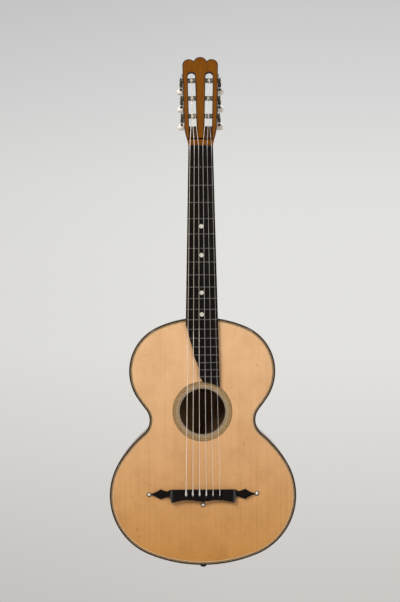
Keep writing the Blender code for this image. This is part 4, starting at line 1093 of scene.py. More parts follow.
class GUITAR_OT_edges(bpy.types.Operator):
    """Makes the dark bindings, the patterned band inside the front one, and its light line."""

    bl_idname = "guitar.edges"
    bl_label = "Edge bands"

    def execute(self, context):
        size = sizes()
        low = size.depth - BINDING_DEPTH
        for word, ends in (("front", (0.0, BINDING_DEPTH)), ("back", (low, size.depth))):
            band = wall(f"{word}_edge_binding", body_outline(), body_outline(size.binding), *ends, "binding")
            ready(settle(round_edges(band, 0.0006)), "binding", f"{word}_binding")
        start = size.binding + SEAT
        end = start + size.purfling
        seam = body_outline(end - LIGHT_LINE)
        bed = wall("purfling_bed", body_outline(start), seam, 0.0001, PLATE, "binding")
        ready(settle(bed), "purfling", "front_purfling")
        line = wall("light_line", seam, body_outline(end + SEAT / 2), -0.00003, PLATE, "light")
        ready(settle(line), "purfling")
        self.make_tiles(start, end - LIGHT_LINE)
        return {"FINISHED"}

    def make_tiles(self, start, end):
        """Slanted tiles of two woods, laid like the strands of a rope."""
        path = np.array(body_outline((start + end) / 2))
        steps = np.linalg.norm(np.roll(path, -1, axis=0) - path, axis=1)
        total = steps.sum()
        ends = np.concatenate(([0.0], np.cumsum(steps)))
        count = 2 * round(total / PURFLING_PITCH / 2)
        places = []
        tones = []
        for i in range(count):
            at = total * i / count
            piece = min(int(np.searchsorted(ends, at, side="right")) - 1, len(path) - 1)
            a, b = path[piece], path[(piece + 1) % len(path)]
            spot = a + (b - a) * (at - ends[piece]) / steps[piece]
            way = math.atan2(b[1] - a[1], b[0] - a[0])
            places.append(((spot[0], 0.0, spot[1]), (0.0, -way, 0.0), (1.0, 1.0, 1.0)))
            tones.append(0.25 if i % 2 else 0.75)
        width = total / count * 0.98
        shape = tile("rope_tile", width, 0.0006, end - start, width * 0.9)
        tiles = scattered("purfling_tiles", shape, places, "purfling", tones, 11, 0.4)
        ready(tiles, "purfling")


class GUITAR_OT_rosette(bpy.types.Operator):
    """Makes the rosette: a mosaic band, thin lines and a lighter inner band."""

    bl_idname = "guitar.rosette"
    bl_label = "Rosette"

    def execute(self, context):
        size = sizes()
        hole, edge = size.hole, size.rosette
        middle = hole_place()
        bands = (
            ("rosette_outer_line", edge - ROSETTE_LINE, edge, -0.00002, "binding", ("rosette",)),
            ("rosette_middle_line", hole + INNER_BAND, hole + MIDDLE_LINE, -0.00002, "light", ()),
            ("rosette_inner_line", hole, hole + ROSETTE_LINE, -0.00002, "binding", ()),
            ("rosette_bed", hole + ROSETTE_LINE, edge - ROSETTE_LINE, 0.0002, "binding", ()),
        )
        for name, inner, outer, face, kind, replaced in bands:
            band = wall(name, ring(outer, middle, 144), ring(inner, middle, 144), face, 0.0014, kind)
            ready(settle(band), "rosette", *replaced)
        self.make_tiles("rosette_mosaic", hole + MIDDLE_LINE, edge - ROSETTE_LINE, 4, "rosette", 3)
        self.make_tiles("rosette_inner_mosaic", hole + ROSETTE_LINE, hole + INNER_BAND, 3, "rosette_inner", 5)
        return {"FINISHED"}

    def make_tiles(self, name, inner, outer, rows, kind, seed):
        """Rows of square tiles, light and dark in turn like a chequerboard."""
        pitch = (outer - inner) / rows
        places = []
        tones = []
        for row in range(rows):
            radius = inner + pitch * (row + 0.5)
            count = 2 * round(2 * math.pi * (inner + outer) / 2 / pitch / 2)
            for i in range(count):
                angle = 2 * math.pi * i / count
                width = 2 * math.pi * radius / count / pitch
                x, z = hole_place()
                spot = (x + radius * math.sin(angle), 0.0, z + radius * math.cos(angle))
                places.append((spot, (0.0, angle, 0.0), (width * 0.97, 1.0, 0.97)))
                tones.append(0.2 if (i + row) % 2 else 0.75)
        shape = tile(f"{name}_tile", pitch, 0.0006, pitch)
        ready(scattered(name, shape, places, kind, tones, seed, 0.5), "rosette")


class GUITAR_OT_body(bpy.types.Operator):
    """Makes the ribs and the two-piece back, and finishes the wood inside."""

    bl_idname = "guitar.body"
    bl_label = "Ribs, back and inside"

    def execute(self, context):
        size = sizes()
        low = BINDING_DEPTH + SEAT / 2
        high = size.depth - BINDING_DEPTH - SEAT / 2
        seam = SEAT / 3
        for word, side in SIDES:
            outer = [(side * max(x, seam), z) for x, z in body_half()]
            inner = [(side * max(x, seam), z) for x, z in body_half(RIB)]
            rib = wall(f"mahogany_rib_{word}", outer, inner, low, high, "sides", closed=False)
            hole = turned_shape("pin_hole", ((0.0039, -0.02), (0.0039, 0.02)), 24)
            hole.data.transform(moved(0.0, size.depth / 2, body_half()[-1][1]) @ spun(90.0, "X"))
            cut(rib, hole)
            ready(settle(rib), "side_wood", f"rib_{word}")
        edge = size.binding + SEAT
        ends = (size.depth - PLATE, size.depth - 0.00005)
        for word, side, replaced in (("bass", -1, ("back_plate",)), ("treble", 1, ())):
            half = [(side * max(x, 0.0022), z) for x, z in body_half(edge)]
            plate = flat_shape(f"mahogany_back_{word}", [half], *ends, "sides")
            ready(settle(plate), "side_wood", *replaced)
        half = body_half(edge)
        ends = (half[0][1], half[-1][1])
        strips = (("back_middle_strip", 0.0, 0.0010, "light"), ("back_strip_left", -0.0016, 0.0005, "ebony"),
                  ("back_strip_right", 0.0016, 0.0005, "ebony"))
        for name, x, reach, kind in strips:
            outline = [(x - reach, ends[0] - 0.0002), (x + reach, ends[0] - 0.0002),
                       (x + reach, ends[1] + 0.0002), (x - reach, ends[1] + 0.0002)]
            ready(settle(flat_shape(name, [outline], size.depth - PLATE, size.depth, kind)), "side_wood")
        # The linings, blocks and bars inside take the bare wood with its painted shade
        for name in ("lining_front", "lining_back", "neck_block", "tail_block", "top_bar_upper",
                     "top_bar_lower", "back_bar_upper", "back_bar_lower"):
            repaint(name, "inside")
        self.make_inner_skin()
        return {"FINISHED"}

    def make_inner_skin(self):
        """A bare inner skin of the back, so that the hole shows plain wood and not varnish."""
        size = sizes()
        face = size.depth - PLATE - 0.0002
        outline = body_outline(size.binding + 0.009)
        inner = flat_shape("back_inner_skin", [outline], face - 0.0001, face, "inside")
        ready(settle(inner), "inside_wood")


def repaint(node_name, finish_name):
    """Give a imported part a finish; its shape stays as it is."""
    for material_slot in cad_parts[node_name].material_slots:
        material_slot.material = finish(finish_name)


def board_half(z):
    """Half the fingerboard's width."""
    return BOARD_HALF - BOARD_TAPER * z


def head_frame():
    """The headstock's own frame: x across, z up its face, y into its thickness."""
    tilt = Matrix.Rotation(-sizes().head_tilt, 4, "X")
    return moved(0.0, 0.0, HEAD_START) @ tilt


def side_frame(side):
    """The frame of one side face: x across, z up along the leaning edge, from the shoulder's corner."""
    flare = Matrix.Rotation(side * sizes().head_flare, 4, "Y")
    corner = moved(side * HEAD_SHOULDER_HALF, HEAD_THICK / 2, HEAD_SHOULDER)
    return head_frame() @ corner @ flare


def head_half(height):
    """Half the headstock's width at a height along its face."""
    if height < HEAD_SHOULDER:
        share = max(0.0, height / HEAD_SHOULDER)
        bow = 0.0006 * 4 * share * (1.0 - share)
        return HEAD_BASE_HALF + (HEAD_SHOULDER_HALF - HEAD_BASE_HALF) * share + bow
    return HEAD_SHOULDER_HALF + (height - HEAD_SHOULDER) * math.tan(sizes().head_flare)


def section(half, depth, power):
    """Across, deep: a flat face in front and a back that is rounder for a power near 1."""
    points = []
    for i in range(NECK_SIDES + 1):
        angle = math.pi * i / NECK_SIDES
        c, s = math.cos(angle), max(0.0, math.sin(angle))
        x = -half * math.copysign(abs(c) ** power, c)
        points.append((x, depth * s ** power))
    points[0] = (-half, 0.0)
    points[-1] = (half, 0.0)
    return points


def heel_section(z, depth, heel):
    """One section of the neck: round behind, and flat-bottomed at the heel."""
    half = board_half(z)
    swell = 1.0 + (HEEL_SWELL - 1.0) * heel
    flat_share = math.sqrt(1.0 - (1.0 / HEEL_SWELL) ** (2.0 / NECK_FULLNESS))
    points = []
    for i in range(NECK_SIDES + 1):
        angle = math.pi * i / NECK_SIDES
        rise = math.sin(angle) ** NECK_FULLNESS if 0 < i < NECK_SIDES else 0.0
        y = min(depth * swell * rise, depth)
        deep = max(0.0, y - NECK_DEPTH) / (HEEL_DEPTH - NECK_DEPTH)
        width = (1.0 - deep) * half + deep * HEEL_TIP_HALF / flat_share
        points.append((-width * math.cos(angle), y, z))
    return points


class GUITAR_OT_neck(bpy.types.Operator):
    """Makes the neck, its heel and the slotted headstock as one carved piece, and the heel cap."""

    bl_idname = "guitar.neck"
    bl_label = "Neck and headstock"

    def execute(self, context):
        wood = loft("carved_neck", self.rings(), "neck")
        lobes = flat_shape("lobes", [self.lobe_outline()], -0.3, 0.4)
        lobes.data.transform(head_frame())
        cut(wood, lobes, "INTERSECT")
        for word, side in SIDES:
            # The slot's walls take cut cedar darkened as painted shade
            slot = flat_shape("slot", [self.slot_outline(side)], -0.01, HEAD_THICK + 0.01, "neck_inside_painted_shade")
            self.level_top(slot, side)
            slot.data.transform(head_frame())
            cut(wood, slot)
            cut(wood, self.ramp(side))
            cut(wood, self.bores(side))
        self.paint_rim_shade(wood)
        ready(settle(wood, 40.0), "neck_wood", "neck", "headstock")
        self.make_cap()
        return {"FINISHED"}

    def paint_rim_shade(self, wood):
        """A narrow rim of painted shade round the headstock's face and its slots, where its rounded edges
        turn from the light.
        """
        wood.data.materials.append(finish("neck_edge_painted_shade"))
        rim = len(wood.data.materials) - 1
        out = head_frame().to_3x3() @ Vector((0.0, -1.0, 0.0))
        work = bmesh.new()
        work.from_mesh(wood.data)
        bmesh.ops.remove_doubles(work, verts=work.verts, dist=1e-6)
        work.normal_update()
        face = [f for f in work.faces if f.normal.dot(out) > 0.999]
        made = bmesh.ops.inset_region(
            work, faces=face, thickness=SHADE_RIM_WIDTH, use_boundary=True, use_even_offset=True)
        for f in made["faces"]:
            if f.calc_center_median().z > SHADE_RIM_START:
                f.material_index = rim
        work.to_mesh(wood.data)
        work.free()

    def rings(self):
        """Sections from the heel up to the top of the headstock."""
        end = sizes().body_top + SEAT
        rows = [heel_section(end, HEEL_DEPTH, 1.0)]
        run = HEEL_START - (end + HEEL_FLAT)
        steps = 20
        for step in range(steps, -1, -1):
            angle = math.radians(90.0 * step / steps)
            depth = NECK_DEPTH + (HEEL_DEPTH - NECK_DEPTH) * (1.0 - math.cos(angle))
            rows.append(heel_section(HEEL_START - run * math.sin(angle), depth, step / steps))
        for z in (-0.20, -0.14, -0.08, -0.04, -0.015, 0.0, 0.0028):
            rows.append(heel_section(z, NECK_DEPTH, 0.0))
        head = head_frame()
        heights = [0.005 + 0.003 * i for i in range(12)] + [0.045, 0.08, 0.12, 0.15, 0.18]
        for height in heights:
            share = min(1.0, max(0.0, height / 0.034))
            eased = share * share * (3.0 - 2.0 * share)
            power = NECK_FULLNESS + (0.10 - NECK_FULLNESS) * eased
            across = section(head_half(height), HEAD_THICK - 0.0001, power)
            rows.append([tuple(head @ Vector((x, y, height))) for x, y in across])
        return rows

    def lobe_outline(self):
        """The three-lobed top, and wide sides and a far foot that cut nothing."""
        lobe_x = head_half(CUSP[1]) - SIDE_LOBE_RADIUS
        lobe_z = CUSP[1] - math.sqrt(SIDE_LOBE_RADIUS ** 2 - (lobe_x - CUSP[0]) ** 2)
        cusp_turn = math.degrees(math.atan2(CUSP[1] - lobe_z, CUSP[0] - lobe_x))
        radius = (CUSP[0] ** 2 + MIDDLE_LOBE_RISE ** 2) / (2 * MIDDLE_LOBE_RISE)
        middle_z = CUSP[1] + MIDDLE_LOBE_RISE - radius
        first = math.degrees(math.atan2(CUSP[1] - middle_z, CUSP[0]))
        half = [(0.08, -0.5), (0.08, lobe_z)]
        half += arc((lobe_x, lobe_z), SIDE_LOBE_RADIUS, 0.0, cusp_turn, 24)
        half += arc((0.0, middle_z), radius, first, 90.0, 14)[1:]
        return both_sides(half)

    def slot_outline(self, side):
        """A string slot's outline in the headstock's plane, parallel to the headstock's edge."""
        middle = CHEEK + SLOT_WIDTH / 2
        top = SLOT_TOP - HEAD_SHOULDER - SLOT_WIDTH / 2
        bottom = SLOT_BOTTOM - HEAD_SHOULDER
        points = [(CHEEK, bottom)]
        points += [(2 * middle - x, z) for x, z in arc((middle, top), SLOT_WIDTH / 2, 0.0, 180.0, 28)]
        points.append((CHEEK + SLOT_WIDTH, bottom))
        flare = sizes().head_flare
        return [(side * (HEAD_SHOULDER_HALF - x * math.cos(flare) + z * math.sin(flare)),
                 HEAD_SHOULDER + z * math.cos(flare) + x * math.sin(flare)) for x, z in points]

    def level_top(self, slot, side):
        """The slot's round end runs level towards the back, so that light shows through it from the front."""
        flare = sizes().head_flare
        lean = math.tan(sizes().head_tilt)
        for point in slot.data.vertices:
            if point.co.z > (SLOT_TOP + SLOT_BOTTOM) / 2:
                rise = point.co.y * lean
                point.co += Vector((side * math.sin(flare) * rise, 0.0, math.cos(flare) * rise))

    def ramp(self, side):
        """The block that cuts the sloping floor below a string slot."""
        slope = math.atan2(RAMP_DEPTH, SLOT_BOTTOM - RAMP_START)
        length = (SLOT_BOTTOM - RAMP_START) / math.cos(slope) + 0.002
        foot = (-side * (CHEEK + SLOT_WIDTH / 2), -HEAD_THICK / 2, RAMP_START - HEAD_SHOULDER)
        # The ramp's floor takes the same painted shade as the slot's walls
        block = tile("ramp", SLOT_WIDTH, 2 * HEAD_THICK, length, finish_name="neck_inside_painted_shade")
        block.data.transform(moved(0.0, -HEAD_THICK * 2, length / 2))
        lean = Matrix.Rotation(-slope, 4, "X")
        block.data.transform(side_frame(side) @ Matrix.Translation(foot) @ lean)
        return block

    def bores(self, side):
        """The rollers' holes through the cheek and into the middle rib."""
        reach = CHEEK + SLOT_WIDTH + 0.0050
        across = -side * (reach / 2 - 0.005)
        places = [moved(across, 0.0, place - HEAD_SHOULDER) @ spun(90.0, "Y") for place in TUNER_PLACES]
        bores = rods("bores", ROLLER_RADIUS + SEAT, reach + 0.01, 32, places)
        bores.data.transform(side_frame(side))
        return bores

    def make_cap(self):
        """The ebony cap with rounded corners on the heel."""
        end = sizes().body_top + SEAT
        corner = HEEL_TIP_HALF / 3
        half = arc((HEEL_TIP_HALF - corner, end + HEEL_FLAT - corner), corner, 0.0, 90.0, 8)
        outline = both_sides([(HEEL_TIP_HALF, end)] + half)
        low = HEEL_DEPTH + SEAT
        cap = flat_shape("ebony_heel_cap", [outline], low, low + 0.0025, "ebony")
        ready(settle(round_edges(cap, 0.0006)), "ebony", "heel_cap")


def fret_place(number):
    """Height of a fret by the rule of equal semitones."""
    return -sizes().scale * (1.0 - 2.0 ** (-number / 12.0))


def board_end(x):
    """Height at which the board meets the rosette's circle."""
    size = sizes()
    return size.hole_place + math.sqrt((size.rosette + SEAT) ** 2 - x * x)


def board_bass_edge(z):
    """The bass edge's distance from the centre line, along the stepped cut."""
    start = sizes().hole_place
    if z >= start + BOARD_CUT:
        return board_half(z)
    corners = [(board_half(start + BOARD_CUT), start + BOARD_CUT)]
    for x, high, low in BOARD_STEPS:
        corners += [(x, start + high), (x, start + low)]
    corners.append((-BOARD_TIP, board_end(BOARD_TIP)))
    return float(np.interp(-z, [-corner[1] for corner in corners], [corner[0] for corner in corners]))


class GUITAR_OT_fingerboard(bpy.types.Operator):
    """Makes the ebony fingerboard, its frets, its pearl dots and the nut."""

    bl_idname = "guitar.fingerboard"
    bl_label = "Fingerboard"

    def execute(self, context):
        size = sizes()
        board = flat_shape("ebony_fingerboard", [self.outline()], BOARD_FACE, -SEAT, "ebony")
        dots = [(fret_place(fret) + fret_place(fret - 1)) / 2 for fret in DOT_FRETS]
        for z in dots:
            well = [ring(size.dot + 0.00004, (0.0, z), 48)]
            cut(board, flat_shape("well", well, BOARD_FACE - 0.01, BOARD_FACE + 0.001))
        round_edges(board, 0.0004, 2)
        ready(settle(board), "ebony", "fingerboard")
        for count, z in enumerate(dots, 1):
            outline = [ring(size.dot, (0.0, z), 48)]
            disc = flat_shape(
                f"pearl_dot_{count}", outline, BOARD_FACE - 0.00002, BOARD_FACE + 0.0008, "pearl")
            ready(settle(disc), "pearl", f"position_dot_{count}")
        self.make_frets()
        self.make_nut()
        return {"FINISHED"}

    def outline(self):
        """The board, cut off in steps on the bass side and round the rosette at its end."""
        size = sizes()
        treble = board_half(board_end(board_half(size.hole_place)))
        rim = size.rosette + SEAT
        points = [(-board_half(-SEAT), -SEAT), (board_half(-SEAT), -SEAT)]
        first = math.degrees(math.acos(treble / rim))
        last = math.degrees(math.acos(BOARD_TIP / rim))
        points += arc(hole_place(), rim, first, last, 24)
        z = board_end(BOARD_TIP)
        start = size.hole_place + BOARD_CUT
        count = 120
        for i in range(count + 1):
            height = z + (start - z) * i / count
            points.append((-self.eased_edge(height), height))
        return points

    def eased_edge(self, z):
        """The bass edge with its corners drawn into soft curves."""
        reach = BOARD_EASE
        near = [board_bass_edge(z + reach * share) for share in (-1.0, -0.5, 0.0, 0.5, 1.0)
                if z + reach * share > board_end(BOARD_TIP)]
        return sum(near) / len(near)

    def make_frets(self):
        """Each fret is a crowned bar from edge to edge."""
        points = []
        edges = []
        for number in range(1, FRET_COUNT + 1):
            z = fret_place(number)
            bass = min(board_bass_edge(z + 0.001), board_bass_edge(z - 0.001))
            points += [(-bass + FRET_INSET, BOARD_FACE, z), (board_half(z) - FRET_INSET, BOARD_FACE, z)]
            edges.append((len(points) - 2, len(points) - 1))
        mesh = bpy.data.meshes.new("frets")
        mesh.from_pydata(points, edges, [])
        values = {"Width": sizes().fret, "Height": FRET_HEIGHT, "Finish": finish("fret")}
        frets = run_tree(link("nickel_silver_frets", mesh), tree_of(swept_tree), values)
        ready(frets, "plain_string")

    def make_nut(self):
        """The nut, its side view drawn out across the neck."""
        half = board_half(0.0)
        rings = [[(x, y, z) for z, y in NUT_PROFILE] for x in (-half, half)]
        nut = loft("ebony_nut", rings, "ebony")
        ready(settle(round_edges(nut, 0.0003, 2)), "ebony", "nut")


def bridge_face():
    """Height of the bridge's top above the soundboard."""
    return SEAT + BRIDGE_HEIGHT


class GUITAR_OT_bridge(bpy.types.Operator):
    """Makes the winged bridge, its saddle, its pins and the ringed pearl inlays beside it."""

    bl_idname = "guitar.bridge"
    bl_label = "Bridge"

    def execute(self, context):
        saddle = -sizes().scale
        self.top = saddle + BRIDGE_TOP
        self.corner = saddle + BRIDGE_CORNER
        self.middle = saddle + BRIDGE_MIDDLE
        self.wing = saddle + BRIDGE_WING
        holes = key_holes()
        outlines = [self.whole_outline(), *holes]
        wings = flat_shape("ebony_bridge", outlines, -(SEAT + WING_HEIGHT), -SEAT, "ebony")
        block = self.block(holes)
        cut(wings, block, "UNION")
        slot = tile("slot", 2 * SADDLE_HALF + 0.0004, 0.014, SADDLE_WIDTH + 0.0003)
        slot.data.transform(moved(0.0, -bridge_face() - 0.014 + SADDLE_SEAT, saddle))
        cut(wings, slot)
        round_edges(wings, 0.0005, 3, 32.0)
        ready(settle(wings), "ebony", "bridge")
        self.make_saddle(saddle)
        self.make_pins()
        self.make_inlays()
        return {"FINISHED"}

    def foot(self):
        """The treble half of the block's lower edge, from its corner to the middle."""
        corners = []
        steps = 20
        for i in range(steps + 1):
            share = i / steps
            x = BRIDGE_CORNER_HALF * (1.0 - share)
            line = self.corner + (self.middle - self.corner) * share
            corners.append((x, line + BRIDGE_ARCH * 4 * share * (1.0 - share)))
        return corners

    def whole_outline(self):
        """The bridge with its waisted, diamond-ended wings."""
        wing = self.wing
        upper = [(BRIDGE_HALF, self.top), (NECK_X, wing + NECK_HALF), (DIAMOND_X, wing + DIAMOND_HALF)]
        lower = [(DIAMOND_X, wing - DIAMOND_HALF), (NECK_X, wing - NECK_HALF)]
        curve_in = lerp_bow((DIAMOND_X, wing + DIAMOND_HALF), (WING_TIP, wing + WING_TIP_HALF), -0.0008)
        curve_out = lerp_bow((WING_TIP, wing - WING_TIP_HALF), (DIAMOND_X, wing - DIAMOND_HALF), -0.0008)
        half = upper + curve_in[1:] + curve_out[:-1] + lower
        half.append((BRIDGE_SHOULDER_HALF, wing - NECK_HALF))
        half += self.foot()
        return both_sides(half)

    def block(self, holes):
        """The block, full height in the middle and sloping down at both ends."""
        half = [(BRIDGE_HALF, self.top), (BRIDGE_SHOULDER_HALF, self.wing - NECK_HALF)] + self.foot()
        low = -(SEAT + WING_HEIGHT / 2)
        block = flat_shape("block", [both_sides(half), *holes], -bridge_face(), low, "ebony")
        for side in (-1, 1):
            # The sloped end faces take the greyer ebony as a painted highlight
            wedge = tile("end slope", 0.03, 0.02, 0.06, finish_name="ebony_facet_painted_highlight")
            place = moved(side * 0.0565, -bridge_face(), self.wing)
            wedge.data.transform(place @ spun(side * 29.0, "Z") @ moved(side * 0.015, -0.02, 0.0))
            cut(block, wedge)
        return block

    def make_saddle(self, place):
        """The saddle, with its top edges eased."""
        half = SADDLE_WIDTH / 2
        top = -(bridge_face() + SADDLE_RISE)
        low = -(bridge_face() - SADDLE_SEAT)
        profile = [(-half, low), (-half, top + 0.0006), (-half * 0.5, top), (half * 0.5, top),
                   (half, top + 0.0006), (half, low)]
        rings = [[(x, y, place + z) for z, y in profile] for x in (-SADDLE_HALF, SADDLE_HALF)]
        ready(settle(round_edges(loft("black_saddle", rings, "ebony"), 0.0003, 2)), "ebony", "saddle")

    def make_pins(self):
        """Turned pins, each head cut flat where its string passes."""
        for index, radius in enumerate(STRING_RADII):
            pin = turned_shape(f"ebony_pin_{6 - index}", PIN_PROFILE, 40, "ebony")
            x = string_place(index, SADDLE_SPACING)
            pin.data.transform(moved(x, -bridge_face() - SEAT, pin_place()))
            flat = string_hole_place(radius) - radius - SEAT
            block = tile("flat", 0.008, 0.03, 0.006)
            block.data.transform(moved(x, -bridge_face() - 0.03, flat + 0.003))
            cut(pin, block)
            ready(settle(round_edges(pin, 0.0002, 2)), "ebony", f"bridge_pin_{6 - index}")

    def make_inlays(self):
        """A small pearl dot in a black ring beyond each wing and below the middle."""
        scale = sizes().scale
        places = ((-0.1003, -scale - 0.0062), (0.1003, -scale - 0.0050), (0.0, -scale - 0.0257))
        for word, (x, z) in zip(("bass", "treble", "middle"), places):
            outer, inner = ring(0.0044, (x, z), 48), ring(0.0031, (x, z), 48)
            edge = wall(f"inlay_ring_{word}", outer, inner, -0.0006, 0.0005, "ebony")
            ready(settle(round_edges(edge, 0.0003, 2)), "ebony")
            dot = turned_shape(f"inlay_pearl_{word}", INLAY_PROFILE, 32, "pearl")
            dot.data.transform(moved(x, 0.0, z))
            ready(settle(dot), "pearl")


def lerp_bow(start, end, bow, steps=8):
    """Points from start to end, bowed sideways by bow at the middle."""
    (x0, z0), (x1, z1) = start, end
    length = math.hypot(x1 - x0, z1 - z0)
    side = (-(z1 - z0) / length, (x1 - x0) / length)
    points = []
    for i in range(steps + 1):
        share = i / steps
        lift = bow * 4 * share * (1.0 - share)
        points.append((x0 + (x1 - x0) * share + side[0] * lift, z0 + (z1 - z0) * share + side[1] * lift))
    return points


def tuner_of(index):
    """The side and the count, from the nut upwards, of the machine that winds a string."""
    return (-1, index) if index < 3 else (1, 5 - index)


class GUITAR_OT_strings(bpy.types.Operator):
    """Makes the six strings, the silk wrap at each bridge end, and their turns on the rollers."""

    bl_idname = "guitar.strings"
    bl_label = "Strings"

    def execute(self, context):
        for index, (name, radius) in enumerate(zip(STRING_NAMES, STRING_RADII)):
            points = self.path(index, radius)
            kind = "wound" if index < 3 else "plain"
            piece = wire(f"{kind}_{name}", points, radius, kind, 12)
            slot = "wound_string" if index < 3 else "plain_string"
            ready(piece, slot, name)
            self.make_wrap(index, radius, slot)
        return {"FINISHED"}

    def heights(self, radius):
        """How far a string's middle stands forward at the saddle, the nut and its hole."""
        saddle = bridge_face() + SADDLE_RISE + SEAT + radius
        nut = NUT_TOP + SEAT + radius
        leave = bridge_face() + radius + SEAT
        return saddle, nut, leave

    def path(self, index, radius):
        """The middle line: up through the pin hole, over saddle and nut, and round the roller."""
        x_bridge = string_place(index, SADDLE_SPACING)
        x_nut = string_place(index, NUT_SPACING)
        hole = string_hole_place(radius)
        saddle, nut, leave = self.heights(radius)
        place = -sizes().scale
        half = SADDLE_WIDTH / 2
        rough = [Vector((x_bridge, PLATE + 0.003, hole)), Vector((x_bridge, -leave, hole)),
                 Vector((x_bridge, -saddle, place - half)), Vector((x_bridge, -saddle, place + half)),
                 Vector((x_nut, -nut, 0.0)), Vector((x_nut, -nut, NUT_DEPTH))]
        side, count = tuner_of(index)
        face = side_frame(side)
        height = TUNER_PLACES[count] - HEAD_SHOULDER
        wind = ROLLER_RADIUS + SEAT + radius
        seen = face.inverted() @ rough[-1]
        run = Vector((seen.y, seen.z - height))
        start = math.atan2(run.y, run.x) - math.acos(wind / run.length)
        middle = -side * (CHEEK + SLOT_WIDTH / 2)
        pitch = 2 * radius + WINDING_GAP
        points = rounded_path(rough, BEND_REACH)
        steps = 48
        for step in range(round(WINDING_TURNS * steps) + 1):
            angle = start - 2 * math.pi * step / steps
            drift = -side * pitch * (step / steps - WINDING_TURNS / 2)
            around = (wind * math.cos(angle), height + wind * math.sin(angle))
            points.append(face @ Vector((middle + drift, *around)))
        return points

    def make_wrap(self, index, radius, slot):
        """The thick silk-wound end of a string, from its hole to a little past the saddle."""
        saddle, _, leave = self.heights(radius)
        x = string_place(index, SADDLE_SPACING)
        place = -sizes().scale
        start = Vector((x, -leave, string_hole_place(radius) + WRAP_START))
        top = Vector((x, -saddle, place - SADDLE_WIDTH / 2))
        past = Vector((x, -saddle, place + SADDLE_WIDTH / 2))
        end = Vector((x, -saddle + 0.00004, place + WRAP_PAST))
        full = WRAP_RADII[index] / radius
        points, swell = [], []
        for first, last, shares in ((start, top, WRAP_RISE), (top, past, WRAP_MIDDLE), (past, end, WRAP_END)):
            for i, share in enumerate(shares):
                size = max(1.02, full * share)
                lift = Vector((0.0, -radius * (size - 1.0), 0.0))
                points.append(first + (last - first) * i / len(shares) + lift)
                swell.append(size)
        ready(wire(f"string_wrap_{6 - index}", points, radius, "silk", 14, swell), slot)


def rounded_path(points, reach, steps=4):
    """The points with each inner corner turned into a short curve."""
    result = [points[0]]
    for before, corner, after in zip(points, points[1:], points[2:]):
        near = min(reach, (corner - before).length * 0.45, (after - corner).length * 0.45)
        a = corner + (before - corner).normalized() * near
        b = corner + (after - corner).normalized() * near
        for i in range(steps + 1):
            share = i / steps
            result.append(a * (1 - share) ** 2 + corner * 2 * share * (1 - share) + b * share ** 2)
    result.append(points[-1])
    return result


